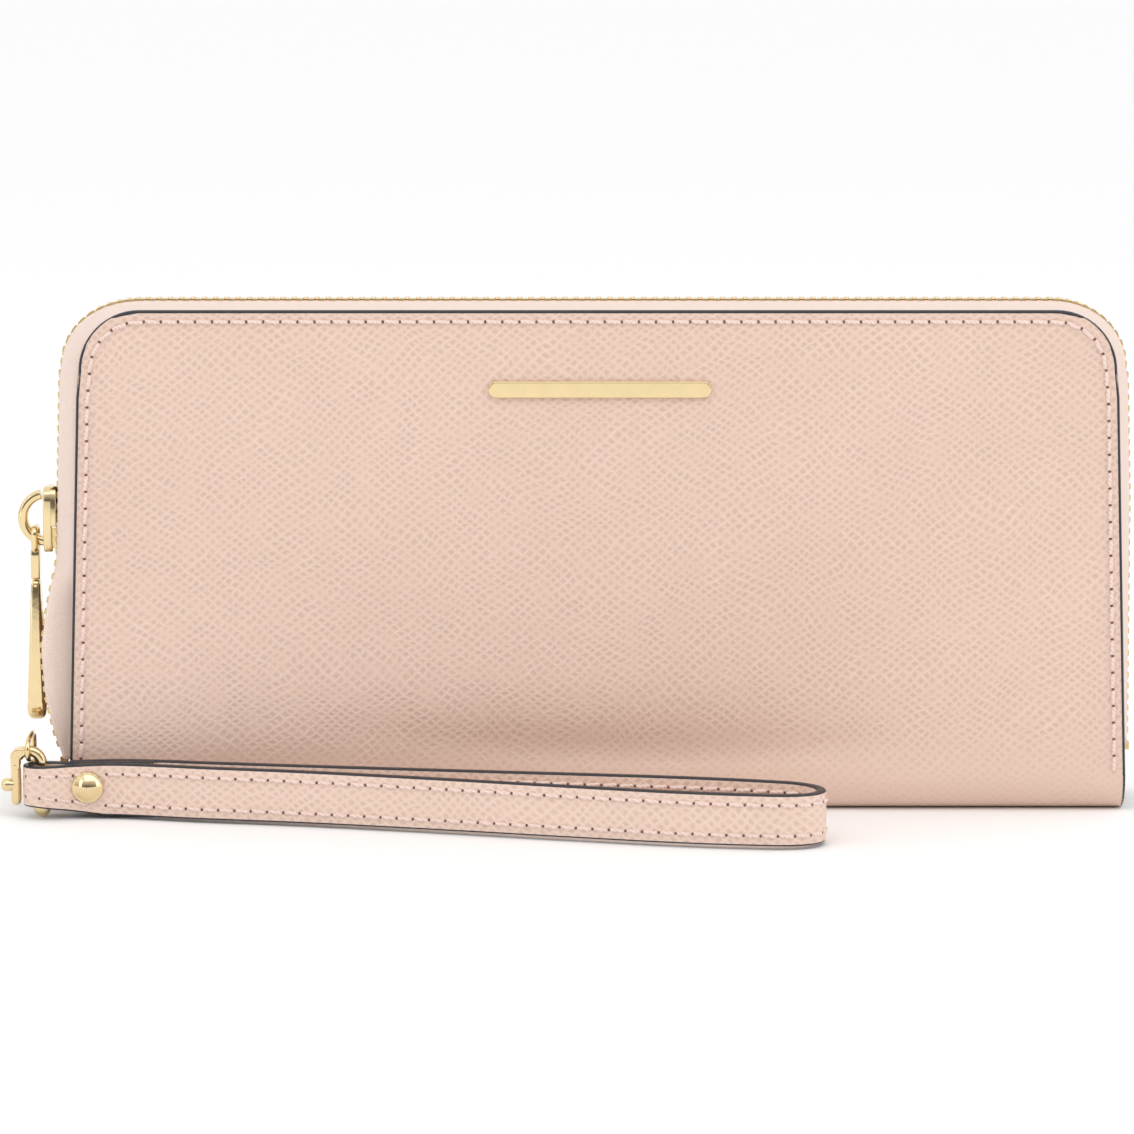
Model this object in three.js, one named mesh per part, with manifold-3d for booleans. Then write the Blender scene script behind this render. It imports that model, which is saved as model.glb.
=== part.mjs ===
// Zip-around continental wallet with a clip-on wrist strap.
// Millimetres, +Z up, +X to the wearer's right, the front panel faces -Y.
// Origin: centre of the wallet's resting face (the underside of its spine).
import * as THREE from 'three';
import { mergeVertices } from 'three/addons/utils/BufferGeometryUtils.js';
import Module from 'manifold-3d';

// ---- driving dimensions -------------------------------------------------
const HALF_W_BASE = 100.5;      // half width of the panels at the spine
const HALF_W_TOP = 97.5;       // half width at the top edge
const PANEL_TOP = 95.6;        // top edge of the leather panels
const CORNER_R = 11.5;         // top corners
const HALF_D = 12.0;           // half depth over the leather
const SKIN = 1.4;              // leather thickness
const SPINE_R = 6.0;           // outside radius of the spine's two long bends
const HINGE_Y = 11.3, HINGE_Z = 6.15;   // fold line of the back panel
const TAPE_T = 0.6;            // zip tape
const CHAIN_SIDE = 3.7, CHAIN_TOP = 0.6, CHAIN_RIGHT = 2.2;   // the closed chain stands this far outside the panel edge
const CHAIN_Y0 = -1.75, CHAIN_Y1 = -0.6;
const STRAP_W = 9.5, STRAP_T = 1.7;
const POST_X = -105.0, POST_Y = -17.05, POST_R = 1.0;
const RIVET_X = -96.2, RIVET_Z = 6.1;
const BRIDGE_C = [-105.1, 54.9], BRIDGE_R0 = 3.6, BRIDGE_R1 = 5.5, BRIDGE_W = 3.2;
const PULL_X = -107.3, PULL_PIN_Z = 42.0;
const RING_X = -107.45, RING_ROD = 0.5;
const GATE_X = -109.9, GATE_PIVOT_Z = 10.0;

const wasm = await Module();
wasm.setup();

// ---- helpers --------------------------------------------------------------
const root = new THREE.Group();
const volumeOf = (g) => {
  const p = g.attributes.position, i = g.index;
  const n = i ? i.count : p.count, a = new THREE.Vector3(), b = new THREE.Vector3(), c = new THREE.Vector3();
  let v = 0;
  for (let k = 0; k < n; k += 3) {
    const q = i ? [i.getX(k), i.getX(k + 1), i.getX(k + 2)] : [k, k + 1, k + 2];
    a.fromBufferAttribute(p, q[0]); b.fromBufferAttribute(p, q[1]); c.fromBufferAttribute(p, q[2]);
    v += a.dot(b.cross(c)) / 6;
  }
  return v;
};
const clean = (g) => {
  g = g.clone();
  g.deleteAttribute('normal'); g.deleteAttribute('uv');
  g = mergeVertices(g, 1e-4);
  if (volumeOf(g) < 0) {
    const idx = g.index.array;
    for (let k = 0; k < idx.length; k += 3) { const t = idx[k]; idx[k] = idx[k + 1]; idx[k + 1] = t; }
  }
  return g;
};
const solid = (g) => {
  g = clean(g);
  return new wasm.Manifold(new wasm.Mesh({
    numProp: 3,
    vertProperties: new Float32Array(g.attributes.position.array),
    triVerts: new Uint32Array(g.index.array),
  }));
};
const fromSolid = (m) => {
  const k = m.getMesh(), g = new THREE.BufferGeometry();
  const pos = new Float32Array(k.numVert * 3);
  for (let i = 0; i < k.numVert; i++) for (let j = 0; j < 3; j++) pos[3 * i + j] = k.vertProperties[k.numProp * i + j];
  g.setAttribute('position', new THREE.BufferAttribute(pos, 3));
  g.setIndex(new THREE.BufferAttribute(new Uint32Array(k.triVerts), 1));
  return g;
};
const MAT = {
  leather: [0xe6c9b8, 0.45, 0.0], lining: [0xc9a995, 0.8, 0.0], board: [0xb9a690, 0.9, 0.0],
  tape: [0xeed5c8, 0.85, 0.0], gold: [0xe0c184, 0.18, 1.0], tooth: [0xcdb173, 0.28, 1.0],
};
const put = (name, shape, kind) => {
  const g = shape.getMesh ? fromSolid(shape) : clean(shape);
  g.computeVertexNormals();
  const [c, r, m] = MAT[kind];
  const mesh = new THREE.Mesh(g, new THREE.MeshStandardMaterial({ color: c, roughness: r, metalness: m }));
  mesh.name = name;
  root.add(mesh);
  return mesh;
};
const box = (x0, x1, y0, y1, z0, z1) =>
  new THREE.BoxGeometry(x1 - x0, y1 - y0, z1 - z0).translate((x0 + x1) / 2, (y0 + y1) / 2, (z0 + z1) / 2);
const shapeOf = (pts) => new THREE.Shape(pts.map((p) => new THREE.Vector2(p[0], p[1])));
const prismZ = (pts, z0, z1) =>
  new THREE.ExtrudeGeometry(shapeOf(pts), { depth: z1 - z0, bevelEnabled: false }).translate(0, 0, z0);
const prismY = (pts, y0, y1) =>
  new THREE.ExtrudeGeometry(shapeOf(pts), { depth: y1 - y0, bevelEnabled: false }).rotateX(Math.PI / 2).translate(0, y1, 0);
const toYZX = new THREE.Matrix4().makeBasis(new THREE.Vector3(0, 1, 0), new THREE.Vector3(0, 0, 1), new THREE.Vector3(1, 0, 0));
const prismX = (pts, x0, x1) =>
  new THREE.ExtrudeGeometry(shapeOf(pts), { depth: x1 - x0, bevelEnabled: false }).applyMatrix4(toYZX).translate(x0, 0, 0);
const cylY = (r, x, z, y0, y1, seg = 16) =>
  new THREE.CylinderGeometry(r, r, y1 - y0, seg).translate(x, (y0 + y1) / 2, z);
const cylZ = (r, x, y, z0, z1, seg = 16) =>
  new THREE.CylinderGeometry(r, r, z1 - z0, seg).rotateX(Math.PI / 2).translate(x, y, (z0 + z1) / 2);
const cylX = (r, y, z, x0, x1, seg = 16) =>
  new THREE.CylinderGeometry(r, r, x1 - x0, seg).rotateZ(Math.PI / 2).translate((x0 + x1) / 2, y, z);
const ball = (r, x, y, z, sx = 1, sy = 1, sz = 1) =>
  new THREE.SphereGeometry(r, 14, 10).scale(sx, sy, sz).translate(x, y, z);
const arc = (cx, cy, r, a0, a1, n) => {
  const out = [];
  for (let i = 0; i <= n; i++) { const a = THREE.MathUtils.degToRad(a0 + (a1 - a0) * i / n); out.push([cx + r * Math.cos(a), cy + r * Math.sin(a)]); }
  return out;
};
// closed thick sheet between two point grids a[i][j] and b[i][j]
const slab = (a, b) => {
  const n = a.length, m = a[0].length, pos = [], idx = [];
  for (const g of [a, b]) for (const r of g) for (const p of r) pos.push(...p);
  const A = (i, j) => i * m + j, B = (i, j) => n * m + i * m + j;
  const quad = (p, q, r, s) => idx.push(p, q, r, p, r, s);
  for (let i = 0; i < n - 1; i++) for (let j = 0; j < m - 1; j++) {
    quad(A(i, j), A(i + 1, j), A(i + 1, j + 1), A(i, j + 1));
    quad(B(i, j), B(i, j + 1), B(i + 1, j + 1), B(i + 1, j));
  }
  for (let i = 0; i < n - 1; i++) {
    quad(A(i, 0), B(i, 0), B(i + 1, 0), A(i + 1, 0));
    quad(A(i, m - 1), A(i + 1, m - 1), B(i + 1, m - 1), B(i, m - 1));
  }
  for (let j = 0; j < m - 1; j++) {
    quad(A(0, j), A(0, j + 1), B(0, j + 1), B(0, j));
    quad(A(n - 1, j), B(n - 1, j), B(n - 1, j + 1), A(n - 1, j + 1));
  }
  const g = new THREE.BufferGeometry();
  g.setAttribute('position', new THREE.Float32BufferAttribute(pos, 3));
  g.setIndex(idx);
  return g;
};
// round rod along a list of points in space; closed loops join end to end
const rod = (pts, r, seg, closed) => {
  const n = pts.length, pos = [], idx = [];
  const V = pts.map((p) => new THREE.Vector3(...p));
  const ref = new THREE.Vector3();
  const c0 = new THREE.Vector3().subVectors(V[1], V[0]).normalize();
  for (let i = 2; i < n && ref.lengthSq() < 1e-6; i++) ref.crossVectors(c0, new THREE.Vector3().subVectors(V[i], V[0]));
  ref.normalize();
  for (let i = 0; i < n; i++) {
    const prev = closed ? V[(i + n - 1) % n] : V[Math.max(0, i - 1)], next = closed ? V[(i + 1) % n] : V[Math.min(n - 1, i + 1)];
    const t = new THREE.Vector3().subVectors(next, prev).normalize();
    const s = new THREE.Vector3().crossVectors(t, ref).normalize();
    for (let k = 0; k < seg; k++) {
      const a = 2 * Math.PI * k / seg;
      const p = V[i].clone().addScaledVector(s, r * Math.cos(a)).addScaledVector(ref, r * Math.sin(a));
      pos.push(p.x, p.y, p.z);
    }
  }
  const rows = closed ? n : n - 1;
  for (let i = 0; i < rows; i++) for (let k = 0; k < seg; k++) {
    const a = i * seg + k, b = i * seg + (k + 1) % seg, c = ((i + 1) % n) * seg + (k + 1) % seg, d = ((i + 1) % n) * seg + k;
    idx.push(a, b, c, a, c, d);
  }
  if (!closed) {
    for (let k = 1; k < seg - 1; k++) idx.push(0, k + 1, k);
    const e = (n - 1) * seg;
    for (let k = 1; k < seg - 1; k++) idx.push(e, e + k, e + k + 1);
  }
  const g = new THREE.BufferGeometry();
  g.setAttribute('position', new THREE.Float32BufferAttribute(pos, 3));
  g.setIndex(idx);
  return g;
};

// ---- panel outline, inset by d -------------------------------------------
const halfAt = (z) => HALF_W_BASE + (HALF_W_TOP - HALF_W_BASE) * z / PANEL_TOP;
const outline = (d, zLow) => {
  const r = CORNER_R - Math.min(d, 8), top = PANEL_TOP - d, cx = HALF_W_TOP - d - r, cz = top - r;
  return [[-(halfAt(zLow) - d), zLow], [halfAt(zLow) - d, zLow],
    ...arc(cx, cz, r, 0, 90, 8), ...arc(-cx, cz, r, 90, 180, 8)];
};

// ---- covers -----------------------------------------------------------------
const uProfile = [
  [-HALF_D, 8], ...arc(-HALF_D + SPINE_R, SPINE_R, SPINE_R, 180, 270, 6), ...arc(HALF_D - SPINE_R, SPINE_R, SPINE_R, 270, 352, 6),
  ...arc(HALF_D - SPINE_R, SPINE_R, SPINE_R - SKIN, 352, 270, 6), ...arc(-HALF_D + SPINE_R, SPINE_R, SPINE_R - SKIN, 270, 180, 6), [-HALF_D + SKIN, 8]];
put('front_cover', solid(prismX(uProfile, -HALF_W_BASE, HALF_W_BASE)).add(solid(prismY(outline(0, 7.5), -HALF_D, -HALF_D + SKIN))), 'leather');
put('front_board', prismY(outline(2.5, 9), -10.4, -9.7), 'board');
put('front_lining', prismY(outline(2.0, 8.2), -9.5, -9.0), 'lining');
put('spine_board', box(-96, 96, -5.5, 5.5, 1.6, 2.2), 'board');
put('spine_lining', box(-97, 97, -5.9, 5.9, 2.4, 2.8), 'lining');
put('back_cover', solid(prismY(outline(0, HINGE_Z), HALF_D - SKIN, HALF_D)).add(solid(cylX(SKIN / 2, HINGE_Y, HINGE_Z, -halfAt(HINGE_Z) + 0.02, halfAt(HINGE_Z) - 0.02, 16))), 'leather');
put('back_board', prismY(outline(2.5, 9), 9.7, 10.4), 'board');
put('back_lining', prismY(outline(2.0, 8.2), 9.0, 9.5), 'lining');

// ---- card slots: three stepped tiers on each lining ------------------------------
const tier = (name, s, k) => {
  const y0 = 8.8 - 0.8 * k, z1 = 76 - 15 * k;
  put(name, box(-88, 88, s > 0 ? y0 - 0.6 : -y0, s > 0 ? y0 : -y0 + 0.6, 10, z1), 'leather');
};
for (let k = 0; k < 3; k++) { tier(`front_card_tier_${k + 1}`, -1, k); tier(`back_card_tier_${k + 1}`, 1, k); }

// ---- side gussets: one soft V at each end of each compartment ----------------------
const gusset = (name, sx, sy) => {
  const p = (x, y) => [sx * x, sy * y];
  const q = [p(95, 8.6), p(89.6, 5.6), p(95, 2.6), p(95.5, 3.1), p(91.0, 5.6), p(95.5, 8.1)];
  put(name, prismZ(sx * sy > 0 ? q : q.slice().reverse(), 11, 78), 'lining');
};
gusset('front_gusset_left', -1, -1); gusset('front_gusset_right', 1, -1);
gusset('back_gusset_left', -1, 1); gusset('back_gusset_right', 1, 1);

// ---- zipped coin pocket between the two compartments ---------------------------------
put('coin_pocket', prismX([[-2, 3.6], [2, 3.6], [2, 82], [1.3, 82], [1.3, 4.3], [-1.3, 4.3], [-1.3, 82], [-2, 82]], -88, 88), 'lining');
put('coin_zip_tape', box(-88, 88, -2, 2, 82.3, 82.8), 'tape');
put('coin_zip_chain', box(-84, 84, -0.7, 0.7, 83.0, 83.8), 'tooth');
put('coin_slider', solid(box(-79, -72, -2.4, 2.4, 84.1, 85.1)).add(solid(box(-77.5, -73.5, -0.6, 0.6, 85.0, 86.6))), 'gold');
put('coin_puller', solid(box(-77.2, -58, -1.6, 1.6, 87.0, 87.8)), 'gold');

// ---- outline path for the zip -----------------------------------------------------------
const CHAIN_LOW = 10.0;
const pathPts = [];
const addP = (x, z, nx, nz) => pathPts.push({ x, z, nx, nz });
const zCorner = PANEL_TOP - CORNER_R, xCorner = HALF_W_TOP - CORNER_R;
const lowStations = [10, 12, 14, 18, 22, 26.5, 31, 34.5, 38, 40.5, 43, 44.2, 45.5, 46.8, 48, 56, 68, 77];
for (const z of lowStations) addP(-halfAt(z), z, -1, 0);
for (const [x, z] of arc(0, 0, 1, 180, 90, 9)) addP(-xCorner + CORNER_R * x, zCorner + CORNER_R * z, x, z);
for (const x of [-58, -29, 0, 29, 58]) addP(x, PANEL_TOP, 0, 1);
for (const [x, z] of arc(0, 0, 1, 90, 0, 9)) addP(xCorner + CORNER_R * x, zCorner + CORNER_R * z, x, z);
for (const z of [66, 48, 30, 12]) addP(halfAt(z), z, 1, 0);
// offset of the chain (outwards, y) along the path: closed from the slider upwards, spread below it
const spreadKeys = [[10, 1.4, -5.5], [14, 2.9, -5.8], [22, 4.9, -6.2], [31, 5.8, -6.2], [38, 5.0, -6.0], [43, 4.2, -5.3], [45.5, 3.8, -3.2], [48, CHAIN_SIDE, 0]];
const chainAt = (i) => {
  const p = pathPts[i];
  const side = p.nx > 0 ? (p.z > 60 ? CHAIN_RIGHT : CHAIN_RIGHT - 1.2 * (60 - p.z) / 48) : CHAIN_SIDE;
  const closed = [side * p.nx * p.nx + CHAIN_TOP * p.nz * p.nz, 0];
  if (i >= lowStations.length || p.z >= 48) return closed;
  for (let k = 0; k < spreadKeys.length - 1; k++) {
    const a = spreadKeys[k], b = spreadKeys[k + 1];
    if (p.z <= b[0]) { const t = (p.z - a[0]) / (b[0] - a[0]); return [a[1] + (b[1] - a[1]) * t, (a[2] + (b[2] - a[2]) * t)]; }
  }
  return closed;
};
const at = (p, n, y) => [p.x + p.nx * n, y, p.z + p.nz * n];
const tape = (name, s) => {
  const A = [], B = [];
  pathPts.forEach((p, i) => {
    const [n, dy] = chainAt(i), open = Math.min(1, -dy / 5);
    const yE = CHAIN_Y0 - 0.15 + dy;
    const mid = [n, -4.4 + (yE + 4.4 - 1.4) * open];
    const P = [[-0.9, -9.0], [0.35 + 0.3 * (n - CHAIN_SIDE), -9.0], mid, [n, yE]];
    const a = [], b = [];
    P.forEach(([pn, py], j) => {
      const q0 = P[Math.max(0, j - 1)], q1 = P[Math.min(3, j + 1)];
      const dn = q1[0] - q0[0], dyy = q1[1] - q0[1], L = Math.hypot(dn, dyy) || 1;
      a.push(at(p, pn + TAPE_T / 2 * dyy / L, s * -(py - TAPE_T / 2 * dn / L)));
      b.push(at(p, pn - TAPE_T / 2 * dyy / L, s * -(py + TAPE_T / 2 * dn / L)));
    });
    A.push(a); B.push(b);
  });
  put(name, slab(A, B), 'tape');
};
tape('front_zip_tape', -1); tape('back_zip_tape', 1);
const chain = (name, s) => {
  const A = [], B = [];
  pathPts.forEach((p, i) => {
    const [n, dy] = chainAt(i);
    A.push([at(p, n + 0.75, s * -(CHAIN_Y0 + dy)), at(p, n + 0.75, s * -(CHAIN_Y1 + dy))]);
    B.push([at(p, n - 0.75, s * -(CHAIN_Y0 + dy)), at(p, n - 0.75, s * -(CHAIN_Y1 + dy))]);
  });
  put(name, slab(A, B), 'tooth');
};
chain('front_zip_teeth', -1); chain('back_zip_teeth', 1);
// metal stops at the ends of the chain
put('front_top_stop', box(-102.5, -101.0, -7.2, -6.2, 8.4, 9.7), 'tooth');
put('back_top_stop', box(-102.5, -101.0, 6.2, 7.2, 8.4, 9.7), 'tooth');
put('bottom_stop', box(100.0, 102.0, -2.0, -0.4, 10.2, 11.7), 'tooth');

// ---- zip slider, its bridge and the puller ----------------------------------------------------
const SL0 = 48.5, SL1 = 61.0;
const plate = (x0, x1) => solid(prismX([[-2.6, SL0], [2.6, SL0], [3.9, SL0 + 3], [3.9, SL1 - 2.2], [2.9, SL1], [-2.9, SL1], [-3.9, SL1 - 2.2], [-3.9, SL0 + 3]], x0, x1));
put('slider_body', plate(-105.5, -103.8)
  .add(plate(-101.25, -100.55))
  .add(solid(box(-104.0, -101.0, -0.25, 0.25, SL0 + 0.4, SL0 + 4.2)))
  .add(plate(-104.0, -102.95).subtract(solid(box(-106, -101, -2.7, 2.7, 40, 70))).subtract(solid(box(-106, -101, -5, 5, 40, 53.6)))), 'gold');
const ringPts = [...arc(BRIDGE_C[0], BRIDGE_C[1], BRIDGE_R1, 92, 288, 22), ...arc(BRIDGE_C[0], BRIDGE_C[1], BRIDGE_R0, 288, 92, 22)];
const bridge = solid(prismY(ringPts, -BRIDGE_W / 2, BRIDGE_W / 2));
put('slider_bridge', bridge.subtract(solid(box(-106.1, -98, -3, 3, 53, 62)))
  .subtract(solid(box(-105.52, -98, -3, 3, 46, 62))), 'gold');
// puller link: an eye round the bridge, a flat stem and a knuckle
const eye = [];
for (const [y, z] of [...arc(1.6, 52.0, 1.0, 0, 90, 4), ...arc(-1.6, 52.0, 1.0, 90, 180, 4), ...arc(-1.6, 49.7, 1.0, 180, 270, 4), ...arc(1.6, 49.7, 1.0, 270, 360, 4)]) eye.push([PULL_X, y, z]);
put('puller_link', solid(rod(eye, 0.5, 8, true))
  .add(solid(box(PULL_X - 0.7, PULL_X + 0.7, -2.0, 2.0, PULL_PIN_Z + 1.1, 49.0)))
  .add(solid(box(PULL_X - 0.7, PULL_X + 0.7, -0.9, 0.9, PULL_PIN_Z - 0.2, PULL_PIN_Z + 1.4)))
  .add(solid(cylY(0.75, PULL_X, PULL_PIN_Z, -0.9, 0.9, 14)))
  .subtract(solid(cylY(0.5, PULL_X, PULL_PIN_Z, -2, 2, 14))), 'gold');
const tabProfile = [...arc(0, PULL_PIN_Z, 0.9, 180, 0, 10), [0.95, 40.0], [1.75, 20.3], [1.85, 18.4], [1.6, 16.8], [0.9, 16.1], [-0.9, 16.1], [-1.6, 16.8], [-1.85, 18.4], [-1.75, 20.3], [-0.95, 40.0]].map(([x, z]) => [PULL_X + x, z]);
const tabFront = [[-2.1, 43.2], [2.1, 43.2], [2.5, 40.3], [3.6, 20.3], [3.6, 18.3], [2.6, 16.0], [-2.6, 16.0], [-3.6, 18.3], [-3.6, 20.3], [-2.5, 40.3]];
put('puller_tab', solid(prismY(tabProfile, -4, 4)).intersect(solid(prismX(tabFront, PULL_X - 3, PULL_X + 3)))
  .subtract(solid(box(PULL_X - 2, PULL_X + 2, -1.2, 1.2, PULL_PIN_Z - 1.2, 45)))
  .subtract(solid(cylY(0.42, PULL_X, PULL_PIN_Z, -4, 4, 14))), 'gold');
put('puller_pin', cylY(0.34, PULL_X, PULL_PIN_Z, -2.0, 2.0, 12), 'gold');

// ---- plain bar badge -----------------------------------------------------------------------------
const badgePts = [...arc(19.4, 80.8, 1.6, -90, 90, 8), ...arc(-19.4, 80.8, 1.6, 90, 270, 8)].map(([x, z]) => [x + 0.4, z]);
put('badge_bar', prismY(badgePts, -13.1, -12.1), 'gold');

// ---- tab and ring at the left end of the spine -----------------------------------------------------
put('ring_tab', solid(box(-108.9, -92, -8.8, -6.0, 4.4, 7.4)).subtract(solid(cylZ(0.8, RING_X, -7.4, 3, 9, 12))), 'leather');
const link = [[-7.4, 3.4], [-7.4, 7], [-7.4, 11], [-7.4, 13.9], [-8.5, 15.0], [-13, 15.0], [-17.2, 15.0], [-18.6, 14.4], [-19.2, 13.0], [-18.6, 11.6], [-17.2, 11.0], [-14.4, 11.0], [-13.0, 10.0], [-9.2, 3.9], [-8.3, 3.0], [-7.7, 2.9]]
  .map(([y, z]) => [RING_X, y, z]);
put('side_ring', rod(link, RING_ROD, 8, true), 'gold');

// ---- snap clasp: hooked body, sprung gate with a thumb knob ---------------------------------------------
const hook = [];
for (const z of [3.0, 6.5]) hook.push([POST_X, POST_Y, z]);
for (const [x, z] of arc((POST_X + GATE_X) / 2, 10.3, (POST_X - GATE_X) / 2, 0, 150, 11)) hook.push([x, POST_Y, z]);


put('clasp_body', solid(rod(hook, POST_R, 12, false))
  .add(solid(ball(1.7, POST_X, POST_Y, 2.1, 1, 1, 1.15)))
  .add(solid(box(GATE_X - 0.9, GATE_X + 0.9, POST_Y - 1.75, POST_Y + 1.75, 11.05, 12.0)))
  .add(solid(box(GATE_X - 0.8, GATE_X + 0.8, POST_Y - 1.75, POST_Y - 1.3, 9.3, 11.6)))
  .add(solid(box(GATE_X - 0.8, GATE_X + 0.8, POST_Y + 1.3, POST_Y + 1.75, 9.3, 11.6)))
  .subtract(solid(cylY(0.42, GATE_X, GATE_PIVOT_Z, POST_Y - 3, POST_Y + 3, 12))), 'gold');
put('clasp_gate', solid(cylZ(0.95, GATE_X, POST_Y, 3.2, 9.7, 14))
  .add(solid(ball(1.0, GATE_X, POST_Y, 3.3)))
  .add(solid(cylX(1.25, POST_Y, 6.2, -111.6, -110.0, 14)))
  .add(solid(ball(1.25, -111.5, POST_Y, 6.2)))
  .add(solid(cylY(0.75, GATE_X, GATE_PIVOT_Z, POST_Y - 1.0, POST_Y + 1.0, 14)))
  .subtract(solid(cylY(0.5, GATE_X, GATE_PIVOT_Z, POST_Y - 3, POST_Y + 3, 12))), 'gold');
put('gate_pin', cylY(0.34, GATE_X, GATE_PIVOT_Z, POST_Y - 1.7, POST_Y + 1.7, 12), 'gold');

// ---- wrist strap: one long strip, folded round the post, out, round the tip and back ----------------------------
const L1 = -14.05, L2 = -16.05, L3 = -18.05, T = STRAP_T / 2, LR = 2.65;
const ctrl = [
  [-84.0, L2], [-90, L2], [-96.2, L2], [-99.5, L2 + 0.35], [-102.3, POST_Y + LR - 0.45],
  ...arc(POST_X, POST_Y, LR, 82, 278, 12),
  [-102.3, POST_Y - LR + 0.45], [-99.5, L3 - 0.35], [-96.2, L3], [-90, L3 - 0.1], [-75.4, -21.6], [-55, -25.6], [-30, -32.0], [-5, -39.0], [14, -44.0], [28, -46.4],
  [35.5, -46.8], [39.4, -45.2], [41.0, -42.0], [40.2, -38.4], [36.8, -35.2], [30, -33.0],
  [14, -29.6], [-5, -26.8], [-30, -23.4], [-55, -19.8], [-75.4, -16.6], [-88, L1 - 0.25], [-96.2, L1], [-100.0, L1]];
const strapCurve = new THREE.CatmullRomCurve3(ctrl.map(([x, y]) => new THREE.Vector3(x, y, 0)), false, 'centripetal');
const NS = 118, left = [], right = [];
const strapPts = strapCurve.getPoints(ctrl.length * 3);
for (let i = 0; i < strapPts.length; i++) {
  const a = strapPts[Math.max(0, i - 1)], b = strapPts[Math.min(strapPts.length - 1, i + 1)];
  const t = new THREE.Vector3().subVectors(b, a).normalize();
  left.push([strapPts[i].x - t.y * T, strapPts[i].y + t.x * T]);
  right.push([strapPts[i].x + t.y * T, strapPts[i].y - t.x * T]);
}
const Z0 = 0.6;
const A = left.map(([x, y]) => [[x, y, 0], [x, y, 12]]), B = right.map(([x, y]) => [[x, y, 0], [x, y, 12]]);
const sideView = [[-112, 2.4], [-106, 2.4], [-99, 1.4], [-93, Z0], [-80, Z0], [60, Z0], [60, Z0 + STRAP_W], [-80, Z0 + STRAP_W + 0.5], [-93, Z0 + STRAP_W + 0.4], [-99, Z0 + STRAP_W + 0.2], [-106, 10.2], [-112, 10.2]];
put('strap', solid(slab(A, B)).intersect(solid(prismY(sideView, -50, -5)))
  .subtract(solid(cylY(1.3, RIVET_X, RIVET_Z, -25, -8, 14))), 'leather');
const cap = new THREE.LatheGeometry([[0, 0], [2.8, 0], [2.95, 0.3], [2.6, 0.9], [1.7, 1.35], [0, 1.55]].map(([r, h]) => new THREE.Vector2(r, h)), 24)
  .rotateX(Math.PI).translate(RIVET_X, 0, RIVET_Z).translate(0, L3 - T - 0.42, 0);
put('rivet', solid(cap).add(solid(cylY(0.95, RIVET_X, RIVET_Z, L3 - T - 0.6, L1 + T + 0.1, 14))), 'gold');
// note: the cap is turned so that its dome faces the front

export default root;
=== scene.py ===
import bpy, bmesh, math
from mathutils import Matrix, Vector


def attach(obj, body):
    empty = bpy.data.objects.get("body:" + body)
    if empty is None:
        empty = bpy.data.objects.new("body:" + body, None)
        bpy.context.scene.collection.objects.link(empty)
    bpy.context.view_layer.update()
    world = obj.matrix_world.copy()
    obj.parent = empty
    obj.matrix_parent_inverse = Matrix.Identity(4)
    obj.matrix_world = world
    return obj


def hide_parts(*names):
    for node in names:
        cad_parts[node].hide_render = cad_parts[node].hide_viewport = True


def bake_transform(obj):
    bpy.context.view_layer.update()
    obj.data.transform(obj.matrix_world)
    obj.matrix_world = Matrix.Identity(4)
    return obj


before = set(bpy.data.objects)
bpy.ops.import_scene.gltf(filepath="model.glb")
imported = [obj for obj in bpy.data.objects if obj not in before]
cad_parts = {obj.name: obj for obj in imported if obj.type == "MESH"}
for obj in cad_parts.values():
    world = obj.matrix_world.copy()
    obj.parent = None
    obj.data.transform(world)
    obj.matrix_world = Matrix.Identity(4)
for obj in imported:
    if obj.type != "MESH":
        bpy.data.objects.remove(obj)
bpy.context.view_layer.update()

MM = 0.001

# ---- dimensions shared with the solids, in millimetres --------------------
HWB, HWT, TOP, CR, HD, SKIN, SR = 100.5, 97.5, 95.6, 11.5, 12.0, 1.4, 6.0
POST_X, POST_Y = -105.0, -17.05
RIVET_X, RIVET_Z = -96.2, 6.1
BC, BR0, BR1 = (-105.1, 54.9), 3.6, 5.5
PULL_X, PIN_Z = -107.3, 42.0
RING_X = -107.45
GATE_X, GATE_Z = -109.9, 10.0
CHAIN_SIDE, CHAIN_TOP, CHAIN_RIGHT = 3.7, 0.6, 2.2


def half_at(z):
    return HWB + (HWT - HWB) * z / TOP


# ---- camera -----------------------------------------------------------------
cam_data = bpy.data.cameras.new("camera")
cam = bpy.data.objects.new("camera", cam_data)
bpy.context.scene.collection.objects.link(cam)
CAM_D, CAM_PITCH = 0.940, math.radians(8.5)
aim = Vector((-5.8 * MM, -HD * MM, 47.05 * MM))
cam.location = aim + Vector((0, -math.cos(CAM_PITCH), math.sin(CAM_PITCH))) * CAM_D
cam.rotation_euler = (math.pi / 2 - CAM_PITCH, 0, 0)
cam_data.sensor_width = 36.0
cam_data.lens = 36.0 * CAM_D / 0.2141
cam_data.clip_start = 0.01
bpy.context.scene.camera = cam


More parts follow.
